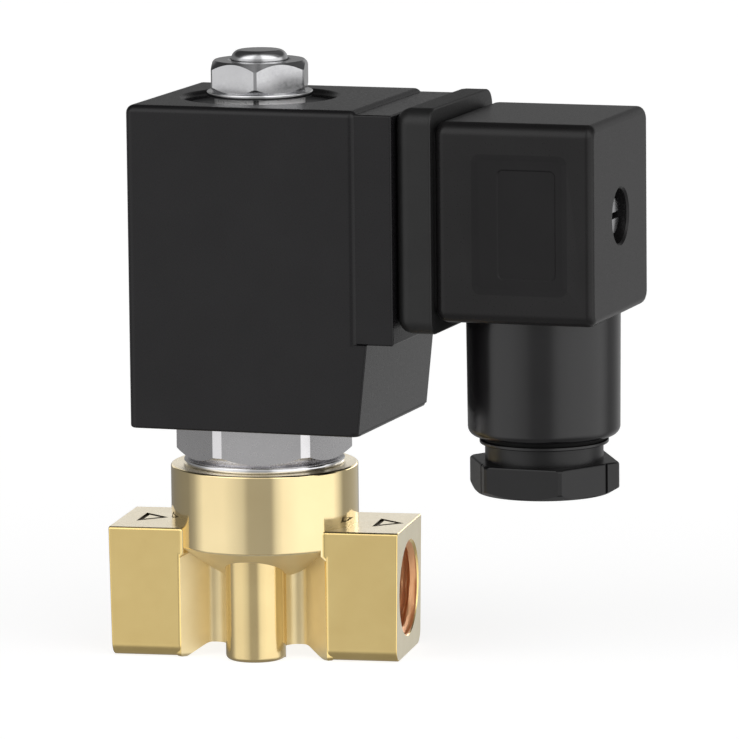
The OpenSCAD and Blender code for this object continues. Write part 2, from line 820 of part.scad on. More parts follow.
module winding() {
    color("chocolate") in_coil_frame()
        ring(bobbin_diameter / 2 - winding_margin, bobbin_tube_r + thread_gap,
            lower_plate_top + bobbin_flange, upper_plate_foot - bobbin_flange);
}

module yoke() {
    color("lightsteelblue") in_coil_frame() difference() {
        union() {
            slab(-yoke_side, yoke_reach, yoke_depth, lower_plate_foot, lower_plate_top);
            slab(-yoke_side, yoke_reach, yoke_depth, upper_plate_foot, upper_plate_top);
            slab(yoke_reach - yoke_thickness, yoke_reach, yoke_leg_depth,
                lower_plate_foot, upper_plate_top);
        }
        translate([0, 0, lower_plate_foot - eps]) cylinder(r = coil_bore_r, h = yoke_thickness + 2 * eps);
        translate([0, 0, upper_plate_foot - eps]) cylinder(r = stud_hole_r, h = yoke_thickness + 2 * eps);
    }
}

module line_pins() {
    color("gainsboro") in_coil_frame() around_plug([0, 180]) blade(0, base_face - blade_root, blade_end);
}

module earth_pin() {
    color("gainsboro") in_coil_frame() around_plug([270]) blade(0, base_face - blade_root, blade_end);
}

module screw_insert() {
    color("khaki") in_coil_frame() along_plug(base_face - insert_length) difference() {
        cylinder(d = insert_diameter, h = insert_length);
        translate([0, 0, -eps]) cylinder(r = screw_way_r, h = insert_length + 2 * eps);
    }
}

module lock_washer() {
    color("darkgray") difference() {
        ring(lock_washer_diameter / 2, stud_hole_r, upper_plate_top, lock_washer_top);
        rotate([0, 0, lock_washer_turn])
            translate([-lock_washer_split / 2, -lock_washer_diameter, upper_plate_top - eps])
            cube([lock_washer_split, lock_washer_diameter, lock_washer_height + 2 * eps]);
    }
}

module flat_washer() {
    color("white") ring(flat_washer_diameter / 2, stud_hole_r, lock_washer_top, flat_washer_top);
}

module top_nut() {
    flats = top_nut_across;
    corners = flats / cos(30);
    chamfer = (corners - flats) / 2 * tan(30);
    color("silver") translate([0, 0, flat_washer_top]) rotate([0, 0, top_nut_turn]) difference() {
        turned_hex(flats, corners, flats, chamfer, flats, chamfer, top_nut_height);
        translate([0, 0, -eps]) cylinder(d = stud_diameter, h = top_nut_height + 2 * eps);
    }
}

module plug_gasket() {
    color("#202020") in_coil_frame() difference() {
        plug_bar(base_face, gasket_end, gasket_depth, gasket_height, gasket_edge);
        plug_bar(plug_start, gasket_end + eps,
            plug_depth + 2 * thread_gap, plug_height + 2 * thread_gap, plug_edge);
        plug_slab(base_face - eps, gasket_end, cavity_depth, cavity_height);
    }
}

// Neck of the plug, drawn on its own axis with its foot at the real height
module neck_solid() {
    r = neck_diameter / 2;
    translate([neck_x, 0, 0]) {
        rotate_extrude() union() {
            translate([0, neck_foot + neck_edge]) square([r, plug_z - neck_foot - neck_edge]);
            translate([0, neck_foot]) square([r - neck_edge, plug_z - neck_foot]);
            translate([r - neck_edge, neck_foot + neck_edge]) circle(r = neck_edge);
        }
        translate([0, 0, lip_foot]) cylinder(d = lip_diameter, h = lip_height + eps);
    }
}

module plug_housing() {
    color("#2e2c2d") in_coil_frame() difference() {
        union() {
            difference() {
                union() {
                    plug_bar(plug_start, plug_end, plug_depth, plug_height, plug_edge);
                    neck_solid();
                }
                plug_slab(plug_start - eps, cavity_end, cavity_depth, cavity_height);
            }
            along_plug(screw_seat - plug_wall)
                cylinder(d = screw_hole + plug_wall, h = cavity_end + eps - screw_seat + plug_wall);
        }
        along_plug(screw_seat) cylinder(d = screw_hole, h = plug_end - screw_seat + eps);
        along_plug(screw_seat - plug_wall - eps) cylinder(r = screw_way_r, h = plug_wall + 2 * eps);
        for (side = [-1, 1]) {
            translate([panel_start, side * plug_depth / 2 - panel_depth, plug_z - panel_height / 2])
                cube([panel_length, 2 * panel_depth, panel_height]);
        }
        translate([neck_x, 0, 0]) {
            translate([0, 0, lip_foot - eps])
                cylinder(r = gland_bore_r, h = gland_seal_top - lip_foot + eps);
            translate([0, 0, lip_foot]) cylinder(d = neck_passage, h = cavity_foot - lip_foot + eps);
        }
    }
}

// Box of one clamp contact, drawn at +Y of the plug's axis
module contact_box(gap, x0, x1) {
    translate([x0, (blade_spacing - contact_thickness) / 2 - gap, -contact_width / 2 - gap])
        cube([x1 - x0, contact_thickness + 2 * gap, contact_width + 2 * gap]);
}

// Wire passage across one contact, drawn at +Y of the plug's axis
module wire_cut(length) {
    wire_x = (blade_end + blade_gap + contact_end - terminal_depth) / 2;
    translate([wire_x, blade_spacing / 2, -length / 2]) cylinder(d = wire_bore, h = length);
}

module contact_carrier() {
    color("gray") in_coil_frame() difference() {
        plug_slab(carrier_start, carrier_end, carrier_depth, carrier_height);
        around_plug([0, 180, 270]) {
            blade(blade_gap, carrier_start - eps, contact_start + eps);
            contact_box(thread_gap, contact_start, carrier_end + eps);
            wire_cut(carrier_height + 2 * eps);
        }
        along_plug(carrier_start - eps) cylinder(r = screw_way_r, h = carrier_length + 2 * eps);
    }
}

module contacts() {
    color("khaki") in_coil_frame() around_plug([0, 180, 270]) difference() {
        contact_box(0, contact_start, contact_end);
        blade(blade_gap, contact_start - eps, blade_end + blade_gap);
        wire_cut(contact_width + 2 * eps);
        translate([contact_end - terminal_depth, blade_spacing / 2, 0]) rotate([0, 90, 0])
            cylinder(d = terminal_shank + 2 * thread_gap, h = terminal_depth + eps);
    }
}

module terminal_screws() {
    color("silver") in_coil_frame() around_plug([0, 180, 270])
        translate([contact_end - terminal_depth, blade_spacing / 2, 0]) rotate([0, 90, 0]) {
            cylinder(d = terminal_shank, h = terminal_depth + eps);
            translate([0, 0, terminal_depth]) cylinder(d = terminal_head, h = terminal_head_height);
        }
}

module plug_screw() {
    color("silver") in_coil_frame() difference() {
        union() {
            along_plug(screw_head_foot) cylinder(d = screw_head, h = screw_head_height);
            along_plug(screw_end) cylinder(r = screw_r, h = screw_head_foot - screw_end + eps);
        }
        plug_slab(screw_head_top - slot_depth, screw_head_top + eps, screw_head + 2 * eps, slot_width);
    }
}

module screw_seal() {
    color("black") in_coil_frame() along_plug(screw_seat)
        ring(screw_head / 2, screw_way_r, 0, screw_seal_height);
}

module gland_seal() {
    color("black") in_coil_frame() translate([neck_x, 0, 0])
        ring(gland_bore_r - thread_gap, cable_r, gland_ring_top, gland_seal_top);
}

module gland_ring() {
    color("gray") in_coil_frame() translate([neck_x, 0, 0])
        ring(gland_bore_r - thread_gap, cable_r, gland_thread_top, gland_ring_top);
}

module gland_nut() {
    flats = gland_across;
    corners = flats / cos(30);
    color("#353335") in_coil_frame() translate([neck_x, 0, 0]) difference() {
        union() {
            translate([0, 0, gland_foot]) rotate([0, 0, gland_turn]) difference() {
                turned_hex(flats, corners, flats, gland_chamfer, corners, 0, gland_height);
                for (turn = [0, 120, 240]) {
                    rotate([0, 0, turn - 30]) translate([flats / 2 - grip_depth, grip_offset, -eps])
                        cube([grip_depth + eps, grip_width, gland_height + 2 * eps]);
                }
            }
            translate([0, 0, gland_hex_top - eps])
                cylinder(d = gland_thread, h = gland_thread_length + eps);
        }
        translate([0, 0, gland_foot - eps])
            cylinder(r = cable_r, h = gland_thread_top - gland_foot + 2 * eps);
    }
}

valve_body();
body_seal();
guide_tube();
pole_piece();
shading_ring();
return_spring();
tube_nut();
tube_washer();
plunger();
seat_disc();
coil_case();
bobbin();
winding();
yoke();
line_pins();
earth_pin();
screw_insert();
lock_washer();
flat_washer();
top_nut();
plug_gasket();
plug_housing();
contact_carrier();
contacts();
terminal_screws();
plug_screw();
screw_seal();
gland_seal();
gland_ring();
gland_nut();
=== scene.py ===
"""Looks of a brass solenoid valve with its coil and cable plug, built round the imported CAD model."""
import math

import bmesh
import bpy
from mathutils import Matrix, Vector


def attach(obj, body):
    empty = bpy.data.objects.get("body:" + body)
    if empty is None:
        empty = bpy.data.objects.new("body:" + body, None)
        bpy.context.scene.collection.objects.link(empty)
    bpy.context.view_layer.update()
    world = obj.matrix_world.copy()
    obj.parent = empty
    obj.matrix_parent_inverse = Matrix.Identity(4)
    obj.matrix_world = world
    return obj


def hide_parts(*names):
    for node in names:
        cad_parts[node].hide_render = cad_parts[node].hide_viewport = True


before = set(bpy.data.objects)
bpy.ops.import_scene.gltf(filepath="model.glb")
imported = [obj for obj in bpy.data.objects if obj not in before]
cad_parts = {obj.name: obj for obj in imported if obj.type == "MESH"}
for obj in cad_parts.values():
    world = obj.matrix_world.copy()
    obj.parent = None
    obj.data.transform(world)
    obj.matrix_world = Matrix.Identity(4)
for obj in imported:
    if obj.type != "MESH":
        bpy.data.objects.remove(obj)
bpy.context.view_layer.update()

# Shapes are drawn in millimetres and written to the meshes in metres
MM = 0.001
TINY = 1e-6
# How far a cut or a join goes past the face where it ends
PAST = 1.0
ARC_STEP = math.radians(9)
EDGE_STEPS = 6
# Limits how far an inset is stretched at a sharp corner
MITRE_LIMIT = 0.3
TURN_STEPS = 120
SHARP_ANGLE = math.radians(32)
HEX_SHARP_ANGLE = math.radians(12)

# Turn of the coil, its plug and its gland about the valve's axis
COIL_TURN = math.radians(-7)
COIL_FRAME = Matrix.Rotation(COIL_TURN, 4, "Z")
IDENTITY = Matrix.Identity(4)


def span(node, turn=0.0):
    """Lowest and highest corner of a CAD node in mm, in the frame turned by that angle about Z."""
    back = Matrix.Rotation(-turn, 3, "Z")
    points = [back @ v.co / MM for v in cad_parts[node].data.vertices]
    low = Vector(min(p[i] for p in points) for i in range(3))
    high = Vector(max(p[i] for p in points) for i in range(3))
    return low, high


# Flat outlines and solids

def rounded_path(corners, closed=True):
    """Points of a path through (x, y, radius) corners, each corner rounded by an arc of its radius."""
    points = []
    count = len(corners)
    for i, (x, y, r) in enumerate(corners):
        here = Vector((x, y))
        if r <= 0 or (not closed and i in (0, count - 1)):
            points.append(here)
            continue
        before = Vector(corners[i - 1][:2])
        after = Vector(corners[(i + 1) % count][:2])
        d_in = (here - before).normalized()
        d_out = (after - here).normalized()
        turn = math.atan2(d_in.x * d_out.y - d_in.y * d_out.x, d_in.dot(d_out))
        if abs(turn) < TINY:
            points.append(here)
            continue
        side = 1 if turn > 0 else -1
        start = here - d_in * (r * math.tan(abs(turn) / 2))
        centre = start + Vector((-d_in.y, d_in.x)) * (side * r)
        steps = max(2, math.ceil(abs(turn) / ARC_STEP))
        for k in range(steps + 1):
            swing = Matrix.Rotation(turn * k / steps, 2)
            points.append(centre + swing @ (start - centre))
    return points


def round_rect(half_w, half_h, r, centre=(0, 0)):
    """Outline of a rectangle with round corners, anticlockwise."""
    cx, cy = centre
    return rounded_path([
        (cx - half_w, cy - half_h, r), (cx + half_w, cy - half_h, r),
        (cx + half_w, cy + half_h, r), (cx - half_w, cy + half_h, r),
    ])


def inward_normals(outline):
    """Unit inset direction at each point of an anticlockwise outline, stretched at its corners."""
    normals = []
    count = len(outline)
    for i, here in enumerate(outline):
        d_in = (here - outline[i - 1]).normalized()
        d_out = (outline[(i + 1) % count] - here).normalized()
        n_in = Vector((-d_in.y, d_in.x))
        n_out = Vector((-d_out.y, d_out.x))
        mean = (n_in + n_out).normalized()
        normals.append(mean / max(MITRE_LIMIT, mean.dot(n_in)))
    return normals


def edge_levels(w0, w1, r0, r1):
    """(height, inset) steps of a prism whose two ends are rounded by r0 and r1."""
    levels = []
    for end, r, sign in ((w0, r0, 1), (w1, r1, -1)):
        if r <= 0:
            part = [(end, 0.0)]
        else:
            part = []
            for k in range(EDGE_STEPS + 1):
                a = math.pi / 2 * k / EDGE_STEPS
                part.append((end + sign * r * (1 - math.cos(a)), r * (1 - math.sin(a))))
        levels += part if sign > 0 else part[::-1]
    return levels


AXES = {
    "Z": lambda u, v, w: Vector((u, v, w)),
    "Y": lambda u, v, w: Vector((u, w, v)),
    "X": lambda u, v, w: Vector((w, u, v)),
}


def solid_from(bm, place=IDENTITY, name="shape"):
    """Object of a closed shape drawn in mm."""
    bmesh.ops.recalc_face_normals(bm, faces=bm.faces)
    bmesh.ops.transform(bm, matrix=Matrix.Scale(MM, 4) @ place, verts=bm.verts)
    mesh = bpy.data.meshes.new(name)
    bm.to_mesh(mesh)
    bm.free()
    shape = bpy.data.objects.new(name, mesh)
    bpy.context.scene.collection.objects.link(shape)
    return shape


def prism(outline, w0, w1, r0=0.0, r1=0.0, axis="Z", place=IDENTITY, bend=None):
    """Prism of an outline along an axis, with its ends rounded by r0 and r1.

    bend moves each point before it is placed."""
    return loft(outline, edge_levels(w0, w1, r0, r1), axis, place, bend)


def loft(outline, levels, axis="Z", place=IDENTITY, bend=None):
    """Solid through the outline at each level, which is a place along the axis and an inset."""
    bm = bmesh.new()
    at = AXES[axis]
    normals = inward_normals(outline)
    rings = []
    for w, inset in levels:
        ring = []
        for p, n in zip(outline, normals):
            q = p + n * inset
            point = at(q.x, q.y, w)
            ring.append(bm.verts.new(bend(point) if bend else point))
        rings.append(ring)
    count = len(outline)
    for low, high in zip(rings, rings[1:]):
        for i in range(count):
            j = (i + 1) % count
            bm.faces.new((low[i], low[j], high[j], high[i]))
    bm.faces.new(rings[0][::-1])
    bm.faces.new(rings[-1])
    return solid_from(bm, place)


def lathe(profile, place=IDENTITY, steps=TURN_STEPS, closed=False, radius=None):
    """Solid turned about Z from (r, z) points. A closed profile makes a ring.

    radius gives the reach of each point from its (r, z, angle)."""
    bm = bmesh.new()
    rings = []
    for r, z in profile:
        if r < TINY:
            rings.append([bm.verts.new((0, 0, z))])
            continue
        ring = []
        for k in range(steps):
            a = 2 * math.pi * k / steps
            reach = radius(r, z, a) if radius else r
            ring.append(bm.verts.new((reach * math.cos(a), reach * math.sin(a), z)))
        rings.append(ring)
    pairs = list(zip(rings, rings[1:]))
    if closed:
        pairs.append((rings[-1], rings[0]))
    for low, high in pairs:
        for k in range(max(len(low), len(high))):
            j = (k + 1) % steps
            if len(low) == 1 and len(high) == 1:
                continue
            if len(low) == 1:
                bm.faces.new((low[0], high[j], high[k]))
            elif len(high) == 1:
                bm.faces.new((low[k], low[j], high[0]))
            else:
                bm.faces.new((low[k], low[j], high[j], high[k]))
    return solid_from(bm, place)


def turned(corners, place=IDENTITY, closed=False, steps=TURN_STEPS):
    """Solid turned about Z from (r, z, corner radius) corners."""
    return lathe(rounded_path(corners, closed=closed), place, steps, closed)


def rod(radius, z0, z1, place=IDENTITY, steps=TURN_STEPS):
    """Plain cylinder about Z."""
    return lathe([(0, z0), (radius, z0), (radius, z1), (0, z1)], place, steps)


def flat_ring(outer, inner, z0, z1, edge):
    """Flat ring about Z with its edges rounded."""
    return turned([(inner, z0, edge), (outer, z0, edge), (outer, z1, edge), (inner, z1, edge)], closed=True)


def hexagon(across, turn):
    """Corners of a hexagon, with a corner at that angle in degrees."""
    r = across / 2 / math.cos(math.pi / 6)
    return [Vector((r * math.cos(a), r * math.sin(a)))
            for a in (math.radians(turn + 60 * k) for k in range(6))]


def combine(target, tool, operation):
    """Joins tool to target, cuts it away or keeps what both share, and deletes tool."""
    modifier = target.modifiers.new("combine", "BOOLEAN")
    modifier.operation = operation
    modifier.solver = "MANIFOLD"
    modifier.object = tool
    graph = bpy.context.evaluated_depsgraph_get()
    made = bpy.data.meshes.new_from_object(target.evaluated_get(graph))
    target.modifiers.clear()
    old = target.data
    target.data = made
    bpy.data.meshes.remove(old)
    spent = tool.data
    bpy.data.objects.remove(tool)
    bpy.data.meshes.remove(spent)
    return target


def join(target, *tools):
    for tool in tools:
        combine(target, tool, "UNION")
    return target


def cut(target, *tools):
    for tool in tools:
        combine(target, tool, "DIFFERENCE")
    return target


def common(target, tool):
    return combine(target, tool, "INTERSECT")


# Materials

NOISE_RANGE = (0.3, 0.7)
NOISE_ROUGHNESS = 0.55
DRIFT_DETAIL = 3.0
GRAIN_DETAIL = 2.0
# Stretch of the grain of metal turned about Z
AROUND_Z = (1.0, 1.0, 40.0)


def noise(tree, place, scale, detail):
    node = tree.nodes.new("ShaderNodeTexNoise")
    node.inputs["Scale"].default_value = scale
    node.inputs["Detail"].default_value = detail
    node.inputs["Roughness"].default_value = NOISE_ROUGHNESS
    tree.links.new(place, node.inputs["Vector"])
    return node.outputs["Fac"]


def shade_between(tree, factor, low, high):
    """Colour that goes from low to high over the range of the noise."""
    ramp = tree.nodes.new("ShaderNodeValToRGB")
    for element, position, colour in zip(ramp.color_ramp.elements, NOISE_RANGE, (low, high)):
        element.position = position
        element.color = (*colour, 1)
    tree.links.new(factor, ramp.inputs["Fac"])
    return ramp.outputs["Color"]


def value_between(tree, factor, low, high):
    """Value that goes from low to high over the range of the noise."""
    node = tree.nodes.new("ShaderNodeMapRange")
    for socket, value in zip(("From Min", "From Max", "To Min", "To Max"), (*NOISE_RANGE, low, high)):
        node.inputs[socket].default_value = value
    tree.links.new(factor, node.inputs["Value"])
    return node.outputs["Result"]


def surface(name, dark, light, rough, patch, grain, depth,
            metallic=0.0, stretch=None, strength=0.6, specular=0.5):
    """Material with a colour that drifts from dark to light, a roughness range and a fine grain.

    patch and grain are the sizes in mm of the drift and of the grain, and depth and strength
    are those of the grain's bump. stretch draws the grain out along the axes."""
    made = bpy.data.materials.new(name)
    made.use_nodes = True
    tree = made.node_tree
    new, link = tree.nodes.new, tree.links.new
    shader = tree.nodes["Principled BSDF"]
    shader.inputs["Metallic"].default_value = metallic
    shader.inputs["Specular IOR Level"].default_value = specular
    place = new("ShaderNodeTexCoord").outputs["Object"]
    drift = noise(tree, place, 1 / (patch * MM), DRIFT_DETAIL)
    if stretch:
        mapping = new("ShaderNodeMapping")
        mapping.inputs["Scale"].default_value = stretch
        link(place, mapping.inputs["Vector"])
        place = mapping.outputs["Vector"]
    fine = noise(tree, place, 1 / (grain * MM), GRAIN_DETAIL)
    link(shade_between(tree, drift, dark, light), shader.inputs["Base Color"])
    link(value_between(tree, fine, *rough), shader.inputs["Roughness"])
    bump = new("ShaderNodeBump")
    bump.inputs["Strength"].default_value = strength
    bump.inputs["Distance"].default_value = depth * MM
    link(fine, bump.inputs["Height"])
    link(bump.outputs["Normal"], shader.inputs["Normal"])
    return made


LOOKS = {
    "brass_forged": dict(dark=(0.92, 0.69, 0.285), light=(0.98, 0.75, 0.325), metallic=1.0,
        rough=(0.22, 0.27), patch=6, grain=0.25, depth=0.006, strength=0.06),
    "brass_waist": dict(dark=(0.76, 0.62, 0.345), light=(0.82, 0.68, 0.39), metallic=0.7,
        rough=(0.32, 0.40), patch=5, grain=0.25, depth=0.006, strength=0.1),
    "brass_boss": dict(dark=(0.80, 0.62, 0.31), light=(0.85, 0.67, 0.34), metallic=0.95,
        rough=(0.13, 0.18), patch=6, grain=0.3, depth=0.004, strength=0.1),
    "brass_turned": dict(dark=(0.89, 0.72, 0.40), light=(0.94, 0.77, 0.44), metallic=1.0,
        rough=(0.07, 0.11), patch=9, grain=2.0, depth=0.003, stretch=AROUND_Z, strength=0.10),
    # Tops: a rougher brass, painted paler as a painted highlight of the light from above
    "brass_top_painted_highlight": dict(dark=(0.90, 0.79, 0.56), light=(0.96, 0.86, 0.65), metallic=0.9,
        rough=(0.26, 0.34), patch=5, grain=0.25, depth=0.006, strength=0.15),
    "brass_faced": dict(dark=(0.88, 0.80, 0.60), light=(0.94, 0.87, 0.68), metallic=0.85,
        rough=(0.38, 0.48), patch=5, grain=0.3, depth=0.005, strength=0.15),
    "brass_bored": dict(dark=(0.68, 0.34, 0.16), light=(0.78, 0.42, 0.21), metallic=0.6,
        rough=(0.34, 0.46), patch=3, grain=0.3, depth=0.006, strength=0.3),
    "brass_marked": dict(dark=(0.10, 0.075, 0.045), light=(0.18, 0.14, 0.09), metallic=1.0,
        rough=(0.40, 0.55), patch=1, grain=0.2, depth=0.010),
    "plated_steel": dict(dark=(0.70, 0.69, 0.70), light=(0.75, 0.74, 0.75), metallic=1.0,
        rough=(0.24, 0.28), patch=7, grain=0.6, depth=0.002, strength=0.04),
    "bright_steel": dict(dark=(0.78, 0.78, 0.79), light=(0.86, 0.86, 0.87), metallic=1.0,
        rough=(0.08, 0.13), patch=4, grain=1.5, depth=0.003, stretch=AROUND_Z, strength=0.06),
    "zinc_steel": dict(dark=(0.53, 0.53, 0.54), light=(0.60, 0.60, 0.61), metallic=1.0,
        rough=(0.13, 0.20), patch=4, grain=0.4, depth=0.004, strength=0.12),
    "white_zinc": dict(dark=(0.80, 0.79, 0.79), light=(0.88, 0.87, 0.87), metallic=0.3,
        rough=(0.26, 0.36), patch=4, grain=0.4, depth=0.004, strength=0.12),
    "stainless": dict(dark=(0.55, 0.55, 0.54), light=(0.62, 0.62, 0.61), metallic=1.0,
        rough=(0.20, 0.30), patch=5, grain=1.5, depth=0.004, stretch=AROUND_Z, strength=0.3),
    "black_steel": dict(dark=(0.040, 0.040, 0.042), light=(0.055, 0.055, 0.057), specular=0.4,
        rough=(0.30, 0.42), patch=4, grain=0.4, depth=0.006, strength=0.3),
    "coil_black": dict(dark=(0.0075, 0.007, 0.0077), light=(0.0095, 0.009, 0.0098), specular=0.27,
        rough=(0.26, 0.33), patch=9, grain=0.4, depth=0.006, strength=0.16),
    # The coil's black with a stronger reflection: a painted sheen for the wall under the terminal base
    "foot_painted_sheen": dict(dark=(0.0075, 0.007, 0.0077), light=(0.0095, 0.009, 0.0098), specular=0.72,
        rough=(0.26, 0.33), patch=9, grain=0.4, depth=0.006, strength=0.12),
    "plug_black": dict(dark=(0.0075, 0.007, 0.0073), light=(0.0095, 0.009, 0.0093), specular=0.26,
        rough=(0.27, 0.34), patch=7, grain=0.25, depth=0.006, strength=0.2),
    "panel_black": dict(dark=(0.0065, 0.006, 0.0065), light=(0.008, 0.0075, 0.008), specular=0.22,
        rough=(0.40, 0.48), patch=7, grain=0.25, depth=0.010, strength=0.3),
    "neck_black": dict(dark=(0.0035, 0.0032, 0.0036), light=(0.0050, 0.0047, 0.0052), specular=0.58,
        rough=(0.19, 0.25), patch=7, grain=0.3, depth=0.003, strength=0.08),
    "gland_black": dict(dark=(0.0040, 0.0038, 0.0041), light=(0.0058, 0.0055, 0.0060), specular=0.42,
        rough=(0.28, 0.35), patch=7, grain=0.3, depth=0.004, strength=0.12),
    # Darker, duller black: painted shade in the groove under the plug's neck
    "groove_painted_shade": dict(dark=(0.0030, 0.0030, 0.0030), light=(0.0042, 0.0042, 0.0042), specular=0.12,
        rough=(0.50, 0.60), patch=4, grain=0.3, depth=0.006, strength=0.2),
    "rubber_black": dict(dark=(0.0085, 0.0085, 0.0085), light=(0.011, 0.011, 0.011), specular=0.35,
        rough=(0.36, 0.46), patch=5, grain=0.3, depth=0.008, strength=0.3),
    "copper": dict(dark=(0.60, 0.24, 0.12), light=(0.72, 0.32, 0.17), metallic=1.0,
        rough=(0.20, 0.34), patch=3, grain=6.0, depth=0.05, stretch=AROUND_Z),
    "bobbin_white": dict(dark=(0.62, 0.60, 0.54), light=(0.70, 0.68, 0.62),
        rough=(0.40, 0.52), patch=6, grain=0.4, depth=0.010),
    "carrier_grey": dict(dark=(0.10, 0.10, 0.105), light=(0.14, 0.14, 0.145),
        rough=(0.44, 0.56), patch=5, grain=0.3, depth=0.012),
    "tinned": dict(dark=(0.62, 0.60, 0.55), light=(0.74, 0.72, 0.67), metallic=1.0,
        rough=(0.20, 0.34), patch=3, grain=0.3, depth=0.008, strength=0.3),
}
MATERIALS = {name: surface(name, **look) for name, look in LOOKS.items()}


def dress(piece, name, body, node, material, sharp=SHARP_ANGLE):
    """Names a finished piece, smooths it, and lets it stand for its CAD node on its body."""
    weld, sliver = 0.002 * MM, 0.001 * MM
    piece.name = name
    piece.data.name = name
    piece.data.materials.clear()
    piece.data.materials.append(MATERIALS[material])
    bm = bmesh.new()
    bm.from_mesh(piece.data)
    bmesh.ops.remove_doubles(bm, verts=bm.verts, dist=weld)
    bmesh.ops.dissolve_degenerate(bm, edges=bm.edges, dist=sliver)
    for face in bm.faces:
        face.smooth = True
    for edge in bm.edges:
        edge.smooth = len(edge.link_faces) == 2 and edge.calc_face_angle() < sharp
    bm.to_mesh(piece.data)
    bm.free()
    weighted = piece.modifiers.new("weighted normals", "WEIGHTED_NORMAL")
    weighted.keep_sharp = True
    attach(piece, body)
    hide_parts(node)
    return piece


def paint(piece, material, test):
    """Gives another material to the faces whose centre in mm and normal pass the test."""
    piece.data.materials.append(MATERIALS[material])
    index = len(piece.data.materials) - 1
    for face in piece.data.polygons:
        if test(face.center / MM, face.normal):
            face.material_index = index


# Brass body

BODY_HIGH = span("valve_body")[1]
# Collar and the cone under it
COLLAR_R = BODY_HIGH.y
COLLAR_FOOT = 15.6
COLLAR_TAPER = 5.4
COLLAR_INSET = 8.0
COLLAR_FOOT_EDGE = 0.6
COLLAR_TOP_EDGE = 0.35
COLLAR_FILLET = 0.8
# End blocks, whose end faces lean by their draft
BLOCK_INNER = 10.2
BLOCK_HALF = 8.5
BLOCK_TOP = 18.4
BLOCK_FOOT_EDGE = 2.0
BLOCK_EDGE = 0.6
BLOCK_TOP_EDGE = 0.45
END_DRAFT = 0.3
END_EDGE = 0.2
# Webs between the collar and the blocks, with their root inside both
WEB_FOOT = 14.9
WEB_RUN = 2.4
WEB_SLOPE = 0.9
WEB_SINK = 0.5
WEB_ROOT = ((9.2, -7.6), (9.2, -5.5), (13.0, -5.5), (13.0, -BLOCK_HALF))
# Waist, its two foot bosses and the relief under it
WAIST_HALF = 5.2
WAIST_X = 6.7
WAIST_FILLET = 1.5
BOSS_R = 4.2
BOSS_Y = 7.0
BOSS_EDGE = 0.7
BOSS_FILLET = 1.8
RELIEF_HEIGHT = 1.8
RELIEF_TOP_X = 7.1
RELIEF_TOP_EDGE = 1.6
RELIEF_FOOT_X = 9.9
RELIEF_FOOT_EDGE = 0.4
RELIEF_BOSS_EDGE = 0.9
FOOT_HOLE_R = 1.65
FOOT_HOLE_DEPTH = 7.0
FOOT_HOLE_TIP = 1.0
# Ports and the passages from them to the seat
PORT_Z = 9.2
PORT_CORE_R = 5.7225
PORT_MOUTH_R = 6.8
PORT_DEPTH = 12.0
PORT_STEPS = 80
THREAD_PITCH = 1.337
THREAD_DEPTH = 0.856
THREAD_RUNOUT = 2.5
FLOW_R = 2.5
FLOW_START = {1: 0.0, -1: -5.6}
ORIFICE_R = 1.5
ORIFICE_TOP = {1: 18, -1: 16}
HOLE_STEPS = 40
# Seat, chamber round it and socket for the tube nut
SEAT_R = 2.8
SEAT_TOP = 17.6
CHAMBER_R = 7.2
CHAMBER_FLOOR = 15.8
SOCKET_R = 9.85
SOCKET_FLOOR = 20.0
# Flow marks in the block tops
MARK_LENGTH = 3.9
MARK_WIDTH = 6.6
MARK_LINE = 0.75
MARK_DEPTH = 0.3
MARK_X = {1: 17.9, -1: -15.9}


def mirrored(outline, sx, sy):
    """The points mirrored in X, Y or both, kept anticlockwise."""
    points = [Vector((p.x * sx, p.y * sy)) for p in outline]
    return points if sx * sy > 0 else points[::-1]


def waist_outline():
    """Plan of the waist with its bosses and slanted faces, which touch the blocks' round inner edges."""
    centre = Vector((BLOCK_INNER + BLOCK_EDGE, -BLOCK_HALF + BLOCK_EDGE))
    corner = Vector((WAIST_X, -WAIST_HALF))
    away = centre - corner
    swing = math.asin(BLOCK_EDGE / away.length)
    along = Matrix.Rotation(-swing, 2) @ away.normalized()
    touch = corner + along * (away.length * math.cos(swing))
    inside = BLOCK_INNER + 2 * BLOCK_EDGE
    steps = 24
    quarter = [(BOSS_R * math.sin(a), -BOSS_Y - BOSS_R * math.cos(a), 0.0)
               for a in (math.pi / 2 * k / steps for k in range(steps + 1))]
    corners = quarter + [
        (BOSS_R, -WAIST_HALF, BOSS_FILLET), (corner.x, corner.y, WAIST_FILLET),
        (touch.x, touch.y, 0.0), (inside, touch.y + BLOCK_EDGE, 0.0), (inside, 0.0, 0.0),
    ]
    right_front = rounded_path(corners, closed=False)
    half = right_front + mirrored(right_front, 1, -1)[1:]
    return half + mirrored(half, -1, 1)[1:-1]


def end_block(side):
    """One end block: a bar with round long edges, a round inner end and a leaning machined end face."""
    section = rounded_path([
        (-BLOCK_HALF, 0, BLOCK_FOOT_EDGE), (BLOCK_HALF, 0, BLOCK_FOOT_EDGE),
        (BLOCK_HALF, BLOCK_TOP, BLOCK_TOP_EDGE), (-BLOCK_HALF, BLOCK_TOP, BLOCK_TOP_EDGE),
    ])
    end = BODY_HIGH.x

    def lean(point):
        share = (point.x - BLOCK_INNER) / (end - BLOCK_INNER)
        draft = END_DRAFT * share * (1 - point.z / BLOCK_TOP)
        return Vector((side * (point.x - draft), point.y, point.z))

    return prism(section, BLOCK_INNER, end, BLOCK_EDGE, END_EDGE, "X", bend=lean)


